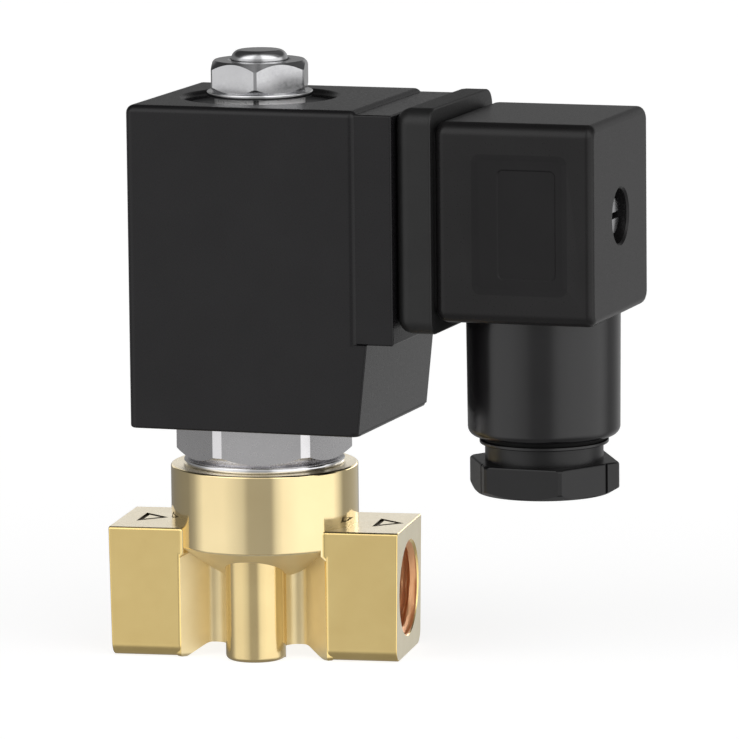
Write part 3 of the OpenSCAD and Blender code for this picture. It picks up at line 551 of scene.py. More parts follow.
def collar_web(side, face):
    """Web that runs one block's front or back into the collar with a hollow fillet."""
    r, f, y = COLLAR_R, COLLAR_FILLET, BLOCK_HALF
    centre = Vector((math.sqrt((r + f) ** 2 - (y + f) ** 2), -y - f))
    start = math.pi / 2
    stop = math.atan2(-centre.y, -centre.x)
    steps = 10
    arc = [centre + f * Vector((math.cos(a), math.sin(a)))
           for a in (start + (stop - start) * k / steps for k in range(steps + 1))]
    root = [Vector(p) for p in WEB_ROOT]
    outline = mirrored((arc + root)[::-1], side, face)
    levels = edge_levels(COLLAR_FOOT - WEB_RUN, BLOCK_TOP, 0, BLOCK_TOP_EDGE)
    levels.insert(1, (WEB_FOOT, 0.0))

    def run_out(point):
        drop = max(0.0, WEB_FOOT - point.z)
        return Vector((point.x + side * WEB_SLOPE * drop, point.y + face * WEB_SINK * drop, point.z))

    return loft(outline, levels, bend=run_out)


def drilled(radius, start, end):
    """Straight bore between two points."""
    start, end = Vector(start), Vector(end)
    run = end - start
    place = Matrix.Translation(start) @ run.to_track_quat("Z", "Y").to_matrix().to_4x4()
    return rod(radius, 0, run.length, place, HOLE_STEPS)


def relief_cutter(side):
    """Cut under the waist on one side of the bosses, open to the front and the back."""
    below = -2 * PAST
    outline = rounded_path([
        (BOSS_R, below, 0), (RELIEF_FOOT_X + RELIEF_FOOT_EDGE, below, 0),
        (RELIEF_FOOT_X, 0, RELIEF_FOOT_EDGE), (RELIEF_TOP_X, RELIEF_HEIGHT, RELIEF_TOP_EDGE),
        (BOSS_R, RELIEF_HEIGHT, RELIEF_BOSS_EDGE),
    ])
    reach = BLOCK_HALF + 2 * PAST
    return prism(mirrored(outline, side, 1), -reach, reach, axis="Y")


def boss_gap_cutter():
    """Cut under the waist between the bosses, which leaves them as two round feet."""
    gap = prism(round_rect(BOSS_R + RELIEF_BOSS_EDGE, BOSS_Y, 0), -2 * PAST, RELIEF_HEIGHT)
    for y in (BOSS_Y, -BOSS_Y):
        cut(gap, drilled(BOSS_R, (0, y, -3 * PAST), (0, y, RELIEF_HEIGHT + PAST)))
    return gap


def port_cutter(side):
    """Threaded bore of one port with its chamfered mouth, turned about the port's axis."""
    face = BODY_HIGH.x - END_DRAFT * (1 - PORT_Z / BLOCK_TOP)
    start = face - PORT_DEPTH
    rows = 96
    height = PORT_DEPTH + PAST
    profile = [(PORT_CORE_R, height * k / rows) for k in range(rows + 1)]

    def thread(r, z, angle):
        phase = (z / THREAD_PITCH - side * angle / (2 * math.pi)) % 1.0
        # Crest, root and each flank take a quarter of the pitch
        crest = min(1.0, max(0.0, 1.5 - abs(phase - 0.5) * 4.0))
        fade = min(1.0, max(0.0, (z - THREAD_RUNOUT) / THREAD_PITCH))
        mouth = PORT_MOUTH_R - (PORT_DEPTH - z)
        return max(r + THREAD_DEPTH * crest * fade, mouth)

    place = Matrix.Translation((side * start, 0, PORT_Z)) @ Matrix.Rotation(side * math.pi / 2, 4, "Y")
    return lathe([(0, 0)] + profile + [(0, height)], place, PORT_STEPS, radius=thread)


def foot_hole_cutter(side):
    """Screw hole in one foot boss, with the cone of the drill's tip."""
    return lathe([
        (0, -PAST), (FOOT_HOLE_R, -PAST), (FOOT_HOLE_R, FOOT_HOLE_DEPTH),
        (0, FOOT_HOLE_DEPTH + FOOT_HOLE_TIP),
    ], Matrix.Translation((0, side * BOSS_Y, 0)), HOLE_STEPS)


def flow_mark(side):
    """Cut of the flow mark in one block's top, the outline of an arrowhead that points along +X."""
    def head(inset):
        tip, half = MARK_LENGTH / 2, MARK_WIDTH / 2
        lean = math.atan2(half, MARK_LENGTH)
        return [Vector(p) for p in (
            (-tip + inset, -half + inset / math.cos(lean) + inset * math.tan(lean)),
            (tip - inset / math.sin(lean), 0),
            (-tip + inset, half - inset / math.cos(lean) - inset * math.tan(lean)))]

    place = Matrix.Translation((MARK_X[side], 0, 0))
    core = prism(head(MARK_LINE), BLOCK_TOP - 2 * MARK_DEPTH, BLOCK_TOP + 2 * PAST, place=place)
    return cut(prism(head(0), BLOCK_TOP - MARK_DEPTH, BLOCK_TOP + PAST, place=place), core)


def chamber_cutter():
    """Chamber round the seat and the socket of the tube nut above it."""
    top = BODY_HIGH.z + PAST
    return lathe([
        (0, SEAT_TOP), (SEAT_R, SEAT_TOP), (SEAT_R, CHAMBER_FLOOR), (CHAMBER_R, CHAMBER_FLOOR),
        (CHAMBER_R, SOCKET_FLOOR), (SOCKET_R, SOCKET_FLOOR), (SOCKET_R, top), (0, top),
    ], steps=PORT_STEPS)


def paint_brass(body):
    """The other finishes of the forged body, and a painted highlight on its tops, each painted over those
    before it.
    """
    slack, fine = 0.1, 0.05
    upward, outward = 0.9, 0.95
    end, port_inner, web_inner = BODY_HIGH.x, 8.0, 9.0
    boss_root = WAIST_HALF - 0.5
    mouth_r = PORT_MOUTH_R - 0.15

    def off_port(c):
        return math.hypot(c.y, c.z - PORT_Z)

    paint(body, "brass_waist", lambda c, n: abs(c.x) < BLOCK_INNER and c.z < COLLAR_FOOT + slack)
    paint(body, "brass_boss", lambda c, n: (
        c.z < COLLAR_FOOT and abs(c.y) > boss_root
        and math.hypot(c.x, abs(c.y) - BOSS_Y) < BOSS_R + slack))
    paint(body, "brass_turned", lambda c, n: (
        c.z > COLLAR_FOOT + slack and COLLAR_R - COLLAR_FOOT_EDGE < c.xy.length < COLLAR_R + fine))
    # Upward faces of the collar and the block tops get the paler brass: a painted highlight
    paint(body, "brass_top_painted_highlight", lambda c, n: n.z > upward and (
        c.z > BODY_HIGH.z - slack or abs(c.x) > web_inner and abs(c.z - BLOCK_TOP) < slack))
    paint(body, "brass_marked", lambda c, n: (
        BLOCK_INNER + BLOCK_EDGE < abs(c.x) < end - slack and abs(c.y) < MARK_WIDTH / 2 + slack
        and BLOCK_TOP - MARK_DEPTH - fine < c.z < BLOCK_TOP - fine))
    paint(body, "brass_faced", lambda c, n: abs(n.x) > outward and abs(c.x) > end - END_DRAFT - slack)
    paint(body, "brass_bored", lambda c, n: (
        port_inner < abs(c.x) < end - END_DRAFT - fine and off_port(c) < mouth_r
        or abs(c.x) < end - PORT_DEPTH and off_port(c) < FLOW_R + fine))


def brass_body():
    cone_foot = COLLAR_FOOT - COLLAR_TAPER
    collar = turned([
        (0, cone_foot, 0), (COLLAR_R - COLLAR_INSET, cone_foot, 0),
        (COLLAR_R, COLLAR_FOOT, COLLAR_FOOT_EDGE), (COLLAR_R, BODY_HIGH.z, COLLAR_TOP_EDGE),
        (0, BODY_HIGH.z, 0),
    ])
    waist = prism(waist_outline(), 0, COLLAR_FOOT + PAST, BOSS_EDGE, 0)
    body = join(collar, waist, end_block(1), end_block(-1))
    for side in (1, -1):
        for face in (1, -1):
            join(body, collar_web(side, face))
    cut(body, relief_cutter(1), relief_cutter(-1), boss_gap_cutter())
    for side in (1, -1):
        bottom = side * (BODY_HIGH.x - PORT_DEPTH + PAST)
        cut(body, port_cutter(side), foot_hole_cutter(side), flow_mark(side))
        cut(body, drilled(FLOW_R, (FLOW_START[side], 0, PORT_Z), (bottom, 0, PORT_Z)))
    for side, x in FLOW_START.items():
        cut(body, drilled(ORIFICE_R, (x, 0, PORT_Z), (x, 0, ORIFICE_TOP[side])))
    cut(body, chamber_cutter())
    dress(body, "body_casting", "valve", "valve_body", "brass_forged")
    paint_brass(body)
    return body


# Tube nut and washers

TUBE_HOLE_R = 6.88
STUD_HOLE_R = 4.1
WASHER_EDGE = 0.15
BRIGHT_EDGE = 0.25


def hex_piece(across, turn, z0, z1, corners):
    """Hex prism kept inside a turned outline, which chamfers its corners."""
    edge = 0.05
    blank = prism(hexagon(across, turn), z0, z1, edge, edge)
    return common(blank, turned(corners))


def tube_nut():
    low, high = span("tube_nut")
    foot = span("tube_washer")[1].z
    across, hex_turn, corner_r = 22.0, 10.2, 12.3
    foot_r, foot_edge, chamfer = 10.5, 0.1, 1.4
    thread_r, overlap = 9.8, 0.4
    nut = hex_piece(across, hex_turn, foot, high.z, [
        (0, foot, 0), (foot_r, foot, foot_edge), (corner_r, foot + chamfer, 0),
        (corner_r, high.z, 0), (0, high.z, 0)])
    join(nut, rod(thread_r, low.z, foot + overlap))
    cut(nut, rod(TUBE_HOLE_R, low.z - PAST, high.z + PAST))
    return dress(nut, "guide_nut", "valve", "tube_nut", "plated_steel", HEX_SHARP_ANGLE)


def plain_ring(name, body, node, material, inner, edge):
    low, high = span(node)
    return dress(flat_ring(high.y, inner, low.z, high.z, edge), name, body, node, material)


# Coil

COIL_LOW, COIL_HIGH = span("coil_case", COIL_TURN)
COIL_FACE = 19.1
COIL_EDGE = 1.2
COIL_RIM = 1.15
COIL_FOOT_RIM = 0.4
# Terminal base and the wall that leans out under it, both set into the block's face
BASE_HALF = 14.7
BASE_FOOT = 46.0
BASE_STEP = 0.5
BASE_EDGE = 0.3
BASE_ROOT = 2.5
WALL_LEAN = 1.3
WALL_EDGE = 0.25
WALL_SINK = 0.02
# Round recess in the top
RECESS_R = 10.5
RECESS_DEPTH = 1.1
RECESS_EDGE = 0.8
RECESS_SINK = 0.5
# Space for the yoke and the bobbin, and the hole of the screw's insert
CASE_FLOOR = 0.8
YOKE_X = (-12.25, 15.95)
YOKE_HALF = 11.05
BOBBIN_R = 12.3
INSERT_R = 2.65
INSERT_DEPTH = 6.4
INSERT_STEPS = 48
# Height of the plug's axis, and the place of a shape drawn along +Z that points along it
PLUG_Z = 63.1
PLUG_AXIS = COIL_FRAME @ Matrix.Translation((0, 0, PLUG_Z)) @ Matrix.Rotation(math.pi / 2, 4, "Y")


def coil_case():
    low, high = COIL_LOW.z, COIL_HIGH.z
    middle = ((COIL_FACE + COIL_LOW.x) / 2, 0)
    case = prism(round_rect((COIL_FACE - COIL_LOW.x) / 2, COIL_HIGH.y, COIL_EDGE, middle),
                 low, high, COIL_FOOT_RIM, COIL_RIM, place=COIL_FRAME)
    root = COIL_FACE - BASE_ROOT
    base = prism(rounded_path([
        (root, BASE_FOOT, 0), (COIL_HIGH.x, BASE_FOOT, BASE_EDGE),
        (COIL_HIGH.x, high - BASE_STEP, BASE_EDGE), (root, high - BASE_STEP, 0),
    ]), -BASE_HALF, BASE_HALF, BASE_EDGE, BASE_EDGE, "Y", COIL_FRAME)
    wall = prism([Vector(p) for p in (
        (root, low + COIL_FOOT_RIM), (COIL_FACE - WALL_SINK, low + COIL_FOOT_RIM),
        (COIL_FACE + WALL_LEAN, BASE_FOOT + WALL_SINK), (root, BASE_FOOT + WALL_SINK),
    )], -COIL_HIGH.y, COIL_HIGH.y, WALL_EDGE, WALL_EDGE, "Y", COIL_FRAME)
    join(case, base, wall)
    floor_z, lid_z = low + CASE_FLOOR, high - RECESS_DEPTH
    yoke_middle = ((YOKE_X[0] + YOKE_X[1]) / 2, 0)
    space = prism(round_rect((YOKE_X[1] - YOKE_X[0]) / 2, YOKE_HALF, 0, yoke_middle),
                  floor_z, lid_z, place=COIL_FRAME)
    join(space, rod(BOBBIN_R, floor_z, lid_z))
    recess_floor, above = lid_z - RECESS_SINK, high + 2 * PAST
    recess = turned([
        (0, recess_floor, 0), (RECESS_R, recess_floor, 0), (RECESS_R, high, RECESS_EDGE),
        (RECESS_R + 2 * PAST, high, 0), (RECESS_R + 2 * PAST, above, 0), (0, above, 0)])
    cut(case, space, recess, rod(TUBE_HOLE_R, low - PAST, floor_z + PAST))
    cut(case, rod(INSERT_R, COIL_HIGH.x - INSERT_DEPTH, COIL_HIGH.x + PAST, PLUG_AXIS, INSERT_STEPS))
    dress(case, "coil_housing", "coil", "coil_case", "coil_black")
    outward = COIL_FRAME.to_3x3() @ Vector((1, 0, 0))
    facing, downward = 0.9, -0.05
    # Faces of the leaning wall that point out and down get the more reflective black: a painted sheen
    paint(case, "foot_painted_sheen", lambda c, n: (
        c.z < BASE_FOOT and n.dot(outward) > facing and n.z < downward))
    return case


# Fasteners on top

# Room left where a moving piece comes to rest against another
SEAT_GAP = 0.02


def top_nut():
    low, high = span("top_nut")
    flat_r, corner_r, top_r, hex_turn = 6.5, 7.38, 6.3, -22.4
    foot_chamfer, top_chamfer = 0.75, corner_r - top_r
    thread_r, mouth_r, mouth_depth = 4.0, 4.5, 0.45
    nut = hex_piece(2 * flat_r, hex_turn, low.z, high.z, [
        (0, low.z, 0), (flat_r, low.z, 0), (corner_r, low.z + foot_chamfer, 0),
        (corner_r, high.z - top_chamfer, 0), (top_r, high.z, 0), (0, high.z, 0)])
    mouth_foot = high.z - mouth_depth
    cut(nut, lathe([
        (0, low.z - PAST), (thread_r, low.z - PAST), (thread_r, mouth_foot),
        (mouth_r, mouth_foot + mouth_r - thread_r), (mouth_r, high.z + PAST), (0, high.z + PAST)]))
    return dress(nut, "stud_nut", "top_nut", "top_nut", "zinc_steel", HEX_SHARP_ANGLE)


def pole_piece():
    low, high = span("pole_piece")
    stud_r, head_r, plug_r = 3.95, 6.78, 6.23
    stud_edge, head_edge, face_edge = 1.3, 0.15, 0.2
    face, tube_top, head_top = low.z + SEAT_GAP, 74.1, 75.1
    pole = turned([
        (0, face, 0), (plug_r, face, face_edge), (plug_r, tube_top, 0),
        (head_r, tube_top, head_edge), (head_r, head_top, head_edge),
        (stud_r, head_top, 0), (stud_r, high.z, stud_edge), (0, high.z, 0)])
    return dress(pole, "pole_and_stud", "valve", "pole_piece", "zinc_steel")


def lock_washer():
    low, high = span("lock_washer")
    gap_half, gap_reach, gap_edge, gap_turn = 0.4, 4, 0.05, math.radians(7.6)
    washer = flat_ring(high.y, STUD_HOLE_R, low.z, high.z, WASHER_EDGE)
    gap = prism(round_rect(gap_half, gap_reach, gap_edge, (0, -high.y)), low.z - PAST, high.z + PAST,
                place=Matrix.Rotation(gap_turn, 4, "Z"))
    return dress(cut(washer, gap), "split_washer", "valve", "lock_washer", "white_zinc")


# Plug, gasket and gland

PLUG_LOW, PLUG_HIGH = span("plug_housing", COIL_TURN)
GASKET_LOW, GASKET_HIGH = span("plug_gasket", COIL_TURN)
PLUG_END = PLUG_HIGH.x
PLUG_HALF = 13.4
PLUG_HALF_Z = 13.85
PLUG_EDGE = 2.0
PLUG_RIM = 1.1
PLUG_FACE_RIM = 1.7
PLUG_WALL = 2.2
GASKET_CORNER = 2.4
GASKET_RIM = 2.2
GASKET_EDGE = 0.3
# Spigot that carries the gasket, and the plug's cavity
SPIGOT_INSET = 0.9
SPIGOT_GAP = 0.05
SPIGOT_EDGE = 0.2
SPIGOT_ROOT = 3.0
CAVITY_HALF = 10.8
CAVITY_HALF_Z = 11.45
CAVITY_EDGE = 0.3
# Sunk panel in the front and the back, and the lower field in it
PANEL_X = (35.1, 48.7)
PANEL_HALF_Z = 9.65
PANEL_DEPTH = 0.35
PANEL_SLOPE = 0.8
PANEL_CORNER = 1.2
FIELD_X = (38.6, 47.0)
FIELD_HALF_Z = 7.6
FIELD_DEPTH = 0.15
FIELD_SLOPE = 0.2
FIELD_CORNER = 0.9
# Neck, with a groove over its lip, and the bores of the gland in it
NECK_X = 41.1
NECK_AXIS = COIL_FRAME @ Matrix.Translation((NECK_X, 0, 0))
NECK_FOOT = 32.35
NECK_TOP = PLUG_Z - 6
NECK_R = 10.65
NECK_DRAFT = 0.1
NECK_EDGE = 1.3
LIP_R = 8.95
LIP_FOOT_EDGE = 0.2
LIP_TOP_EDGE = 0.1
GROOVE_HEIGHT = 0.6
GROOVE_DEPTH = 0.4
GLAND_BORE_R = 8.3
GLAND_BORE_TOP = 44.45
WIRE_BORE_R = 6.6
WIRE_BORE_TOP = 52
# Boss of the plug's screw inside the cavity, and its stepped hole, as depths from the plug's end
SCREW_BOSS_R = 4.85
SCREW_BOSS = (5.7, 1.5)
SCREW_HOLE_R = 3.8
SCREW_HOLE_DEPTH = 3.6
SCREW_MOUTH_DEPTH = 0.3
SCREW_MOUTH_FLARE = 0.8
SHANK_HOLE_R = 1.57
SHANK_HOLE = (7, 3)


def plug_bar(half, half_z, corner, x0, x1, r0=0.0, r1=0.0):
    """Bar along the plug's axis with its long edges rounded by corner and its ends by r0 and r1."""
    return prism(round_rect(half, half_z, corner, (0, PLUG_Z)), x0, x1, r0, r1, "X", COIL_FRAME)


def panel_cutter(side, face, depth, reach, half_z, corner, slope):
    """Shallow field with sloping sides, sunk from the plug's front or back or from a field there."""
    x0, x1 = reach
    outline = round_rect((x1 - x0) / 2, half_z, corner, ((x0 + x1) / 2, PLUG_Z))
    levels = [(side * (face - depth), slope), (side * face, 0), (side * (face + PAST), 0)]
    return loft(outline, levels, "Y", COIL_FRAME)


def plug_gasket():
    """Frame with a round edge towards the coil and a sharp one towards the plug, on the plug's spigot."""
    height = GASKET_HIGH.z - GASKET_LOW.z
    bar = plug_bar(GASKET_HIGH.y, height / 2, GASKET_CORNER,
                   GASKET_LOW.x, GASKET_HIGH.x, GASKET_RIM, GASKET_EDGE)
    room = SPIGOT_GAP - SPIGOT_INSET
    pocket = plug_bar(PLUG_HALF + room, PLUG_HALF_Z + room, PLUG_EDGE, PLUG_LOW.x, GASKET_HIGH.x + PAST)
    window = plug_bar(CAVITY_HALF, CAVITY_HALF_Z, CAVITY_EDGE, GASKET_LOW.x - PAST, GASKET_HIGH.x)
    cut(bar, pocket, window)
    return dress(bar, "plug_seal_frame", "plug", "plug_gasket", "rubber_black")


def plug_housing():
    end = PLUG_END
    shell = plug_bar(PLUG_HALF, PLUG_HALF_Z, PLUG_EDGE,
                     GASKET_HIGH.x + SPIGOT_GAP, end, PLUG_FACE_RIM, PLUG_RIM)
    spigot = plug_bar(PLUG_HALF - SPIGOT_INSET, PLUG_HALF_Z - SPIGOT_INSET, PLUG_EDGE,
                      PLUG_LOW.x, GASKET_HIGH.x + SPIGOT_ROOT, SPIGOT_EDGE)
    foot, groove_foot, groove_r = PLUG_LOW.z, NECK_FOOT - GROOVE_HEIGHT, LIP_R - GROOVE_DEPTH
    neck = turned([
        (0, foot, 0), (LIP_R, foot, LIP_FOOT_EDGE), (LIP_R, groove_foot, LIP_TOP_EDGE),
        (groove_r, groove_foot, 0), (groove_r, NECK_FOOT, 0),
        (NECK_R - NECK_DRAFT, NECK_FOOT, NECK_EDGE), (NECK_R + NECK_DRAFT, NECK_TOP, 0),
        (0, NECK_TOP, 0)], NECK_AXIS)
    join(shell, spigot, neck)
    cut(shell, plug_bar(CAVITY_HALF, CAVITY_HALF_Z, CAVITY_EDGE, PLUG_LOW.x - PAST, end - PLUG_WALL))
    join(shell, rod(SCREW_BOSS_R, end - SCREW_BOSS[0], end - SCREW_BOSS[1], PLUG_AXIS))
    panel_face = PLUG_HALF - PANEL_DEPTH
    for side in (1, -1):
        cut(shell, panel_cutter(side, PLUG_HALF, PANEL_DEPTH, PANEL_X,
                                PANEL_HALF_Z, PANEL_CORNER, PANEL_SLOPE))
        cut(shell, panel_cutter(side, panel_face, FIELD_DEPTH, FIELD_X,
                                FIELD_HALF_Z, FIELD_CORNER, FIELD_SLOPE))
    hole_floor, mouth = end - SCREW_HOLE_DEPTH, end - SCREW_MOUTH_DEPTH
    cut(shell, lathe([
        (0, hole_floor), (SCREW_HOLE_R, hole_floor), (SCREW_HOLE_R, mouth),
        (SCREW_HOLE_R + SCREW_MOUTH_FLARE, mouth + SCREW_MOUTH_FLARE), (0, end + PAST)], PLUG_AXIS, steps=80))
    cut(shell, rod(SHANK_HOLE_R, end - SHANK_HOLE[0], end - SHANK_HOLE[1], PLUG_AXIS, steps=32))
    cut(shell, lathe([
        (0, foot - PAST), (GLAND_BORE_R, foot - PAST), (GLAND_BORE_R, GLAND_BORE_TOP),
        (WIRE_BORE_R, GLAND_BORE_TOP), (WIRE_BORE_R, WIRE_BORE_TOP), (0, WIRE_BORE_TOP)], NECK_AXIS))
    dress(shell, "plug_shell", "plug", "plug_housing", "plug_black")
    fine = 0.02
    to_plug = COIL_FRAME.inverted()

    def in_panel(c, n):
        x, y, z = to_plug @ c
        return (panel_face - FIELD_DEPTH - fine < abs(y) < PLUG_HALF - fine
                and PANEL_X[0] < x < PANEL_X[1] and abs(z - PLUG_Z) < PANEL_HALF_Z)

    paint(shell, "neck_black", lambda c, n: c.z < PLUG_Z - PLUG_HALF_Z - fine)
    # The groove under the neck gets the darker, duller black: painted shade
    paint(shell, "groove_painted_shade", lambda c, n: groove_foot - fine < c.z < NECK_FOOT + fine)
    paint(shell, "panel_black", in_panel)
    return shell


def plug_screw():
    low, high = span("plug_screw", COIL_TURN)
    tip_r, shank_r, tip_height = 1.2, 1.47, 0.4
    head_r, head_height, foot_edge, top_edge = 2.7, 2, 0.1, 0.35
    slot_reach, slot_half, slot_edge, slot_depth = 4, 0.45, 0.05, 1
    head_foot = high.x - head_height + SEAT_GAP
    screw = turned([
        (0, low.x, 0), (tip_r, low.x, 0), (shank_r, low.x + tip_height, 0), (shank_r, head_foot, 0),
        (head_r, head_foot, foot_edge), (head_r, high.x, top_edge), (0, high.x, 0)], PLUG_AXIS, steps=64)
    cut(screw, plug_bar(slot_reach, slot_half, slot_edge, high.x - slot_depth, high.x + PAST))
    return dress(screw, "slotted_screw", "plug_screw", "plug_screw", "zinc_steel")


def gland_nut():
    low, high = span("gland_nut", COIL_TURN)
    flat_r, hex_turn, hex_top, hex_edge = 9.5, -1.4, 28.95, 0.3
    corner_r = flat_r / math.cos(math.pi / 6)
    foot_r, side_r, top_r = flat_r - 0.2, corner_r - 0.15, corner_r - 0.5
    foot_chamfer, foot_edge, top_chamfer = 0.9, 0.4, 0.3
    nut = prism(hexagon(2 * flat_r, hex_turn), low.z, hex_top, hex_edge, hex_edge, place=NECK_AXIS)
    common(nut, turned([
        (0, low.z, 0), (foot_r, low.z, foot_edge), (side_r, low.z + foot_chamfer, foot_edge),
        (side_r, hex_top - top_chamfer, hex_edge), (top_r, hex_top, 0), (0, hex_top, 0)], NECK_AXIS))
    notch_half, notch_depth, notch_edge, notch_y, notch_turn = 0.4, 0.25, 0.2, 3.0, -31.4
    notch = round_rect(notch_half, notch_depth, notch_edge, (flat_r, notch_y))
    for k in range(3):
        swing = Matrix.Rotation(math.radians(notch_turn + 120 * k), 4, "Z")
        cut(nut, prism(notch, low.z - PAST, hex_top + PAST, place=NECK_AXIS @ swing))
    thread_r, thread_edge, overlap = 8.2, 0.4, 0.5
    join(nut, turned([
        (0, hex_top - overlap, 0), (thread_r, hex_top - overlap, 0), (thread_r, high.z, thread_edge),
        (0, high.z, 0)], NECK_AXIS))
    bore_r, mouth_r, mouth_top, mouth_edge = 4.7, 5.2, 0.5, 0.3
    cut(nut, turned([
        (0, low.z - PAST, 0), (mouth_r, low.z - PAST, 0), (bore_r, low.z + mouth_top, mouth_edge),
        (bore_r, high.z + PAST, 0), (0, high.z + PAST, 0)], NECK_AXIS))
    return dress(nut, "gland_screw", "gland_nut", "gland_nut", "gland_black", HEX_SHARP_ANGLE)


def contact_blades(name, node, angles):
    """Flat contact blades with chamfered tips, at those angles about the plug's axis."""
    low, high = span(node, COIL_TURN)
    spacing, thick, half_width, edge = 18.0, 0.8, 3.15, 0.12
    tip_run, tip_cut, tip_edge = 0.8, 1.0, 0.2
    tip, shoulder, tip_half = high.x, high.x - tip_run, half_width - tip_cut
    outline = rounded_path([
        (low.x, -half_width, 0), (shoulder, -half_width, tip_edge), (tip, -tip_half, tip_edge),
        (tip, tip_half, tip_edge), (shoulder, half_width, tip_edge), (low.x, half_width, 0)])
    on_axis = COIL_FRAME @ Matrix.Translation((0, 0, PLUG_Z))
    blades = None
    for angle in angles:
        place = on_axis @ Matrix.Rotation(math.radians(angle), 4, "X")
        blade = prism(outline, (spacing - thick) / 2, (spacing + thick) / 2, edge, edge, "Y", place)
        blades = join(blades, blade) if blades else blade
    return dress(blades, name, "coil", node, "tinned")


body_casting = brass_body()
tube_nut()
plain_ring("bright_washer", "valve", "tube_washer", "bright_steel",
           SOCKET_R, BRIGHT_EDGE)
coil_case()
split_washer = lock_washer()
plain_ring("flat_washer_ring", "valve", "flat_washer", "bright_steel",
           STUD_HOLE_R, WASHER_EDGE)
top_nut()
pole_piece()
plug_gasket()
plug_housing()
plug_screw()
gland_nut()
contact_blades("line_blades", "line_pins", (0, 180))
contact_blades("earth_blade", "earth_pin", (270,))

# Pieces whose CAD shape is right keep it and get a finish
CAD_FINISH = {
    "body_seal": "rubber_black", "guide_tube": "stainless", "shading_ring": "copper",
    "return_spring": "stainless", "plunger": "stainless", "seat_disc": "rubber_black",
    "bobbin": "bobbin_white", "winding": "copper", "yoke": "black_steel", "screw_insert": "brass_turned",
    "contact_carrier": "carrier_grey", "contacts": "tinned", "terminal_screws": "zinc_steel",
    "screw_seal": "rubber_black", "gland_seal": "rubber_black", "gland_ring": "carrier_grey",
}
for node, finish in CAD_FINISH.items():
    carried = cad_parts[node]
    carried.data.materials.clear()
    carried.data.materials.append(MATERIALS[finish])

# Floor, light and camera, in metres

WHITE = (1, 1, 1, 1)
FLOOR_HALF = 3.0
FLOOR_DROP = 0.00002
FLOOR_GLOW = 0.81
FLOOR_LOOK = dict(
    dark=(0.30, 0.30, 0.30), light=(0.32, 0.32, 0.32),
    rough=(0.8, 0.9), patch=400, grain=2.0, depth=0.01)
CAMERA_AZIMUTH = math.radians(11.8)
CAMERA_ELEVATION = math.radians(8.70)
CAMERA_ROLL = math.radians(0.61)
CAMERA_DISTANCE = 1.0
CAMERA_CLIP = (0.05, 20)
CAMERA_AIM = Vector((0, 0, 0.045))
CAMERA_SIDE = 0.0149
CAMERA_LIFT = -0.0052
SENSOR = 36.0
PICTURE = 739
FOCAL_PIXELS = 7150
LIGHT_DISTANCE = 0.8
# Brightness of the studio round the object, by the degrees from the camera's side towards the right
STUDIO_ROUND = (
    (-180, 0.26), (-150, 0.22), (-108, 0.26), (-97, 0.42), (-82, 0.98), (-52, 0.98), (-36, 0.80),
    (-27, 0.68), (-20, 0.42), (8, 0.40), (14, 0.80), (22, 1.08), (45, 1.25), (94, 1.25), (104, 0.80),
    (113, 0.34), (125, 0.36), (138, 0.42), (150, 0.48), (160, 0.50), (172, 0.32),
)
# Brightness overhead, by the degrees from the camera's side up and over to the back
STUDIO_OVER = ((12, 1.0), (28, 1.9), (62, 1.9), (74, 0.8), (86, 0.26), (150, 0.20), (172, 0.26))
# Brightness below, and straight down, where the object shades the floor
FLOOR_LIGHT = 0.95
UNDER_LIGHT = 0.26
# Heights of the direction between which one of these goes over into the next
OVER_START = (0.20, 0.42)
FLOOR_START = (-0.22, -0.45)
UNDER_START = (-0.45, -0.80)
# Overhead and the floor are dimmed where the studio between them is darker than this
OVER_FULL = 0.9


def towards(turn, climb):
    """Direction at these angles from the camera's side to the right and up."""
    around = CAMERA_AZIMUTH + turn
    level = math.cos(climb)
    return Vector((math.sin(around) * level, -math.cos(around) * level, math.sin(climb)))


def floor():
    """Plain pale paper. It glows a little, and reflections look through it at the studio."""
    bm = bmesh.new()
    corners = ((-1, -1), (1, -1), (1, 1), (-1, 1))
    bm.faces.new([bm.verts.new((x * FLOOR_HALF, y * FLOOR_HALF, -FLOOR_DROP)) for x, y in corners])
    mesh = bpy.data.meshes.new("floor")
    bm.to_mesh(mesh)
    bm.free()
    plane = bpy.data.objects.new("floor", mesh)
    bpy.context.scene.collection.objects.link(plane)
    paper = surface("floor_paper", **FLOOR_LOOK)
    tree = paper.node_tree
    shader = tree.nodes["Principled BSDF"]
    shader.inputs["Emission Color"].default_value = WHITE
    shader.inputs["Emission Strength"].default_value = FLOOR_GLOW
    clear = tree.nodes.new("ShaderNodeBsdfTransparent")
    mix = tree.nodes.new("ShaderNodeMixShader")
    tree.links.new(tree.nodes.new("ShaderNodeLightPath").outputs["Is Glossy Ray"], mix.inputs["Fac"])
    tree.links.new(shader.outputs["BSDF"], mix.inputs[1])
    tree.links.new(clear.outputs["BSDF"], mix.inputs[2])
    tree.links.new(mix.outputs["Shader"], tree.nodes["Material Output"].inputs["Surface"])
    mesh.materials.append(paper)


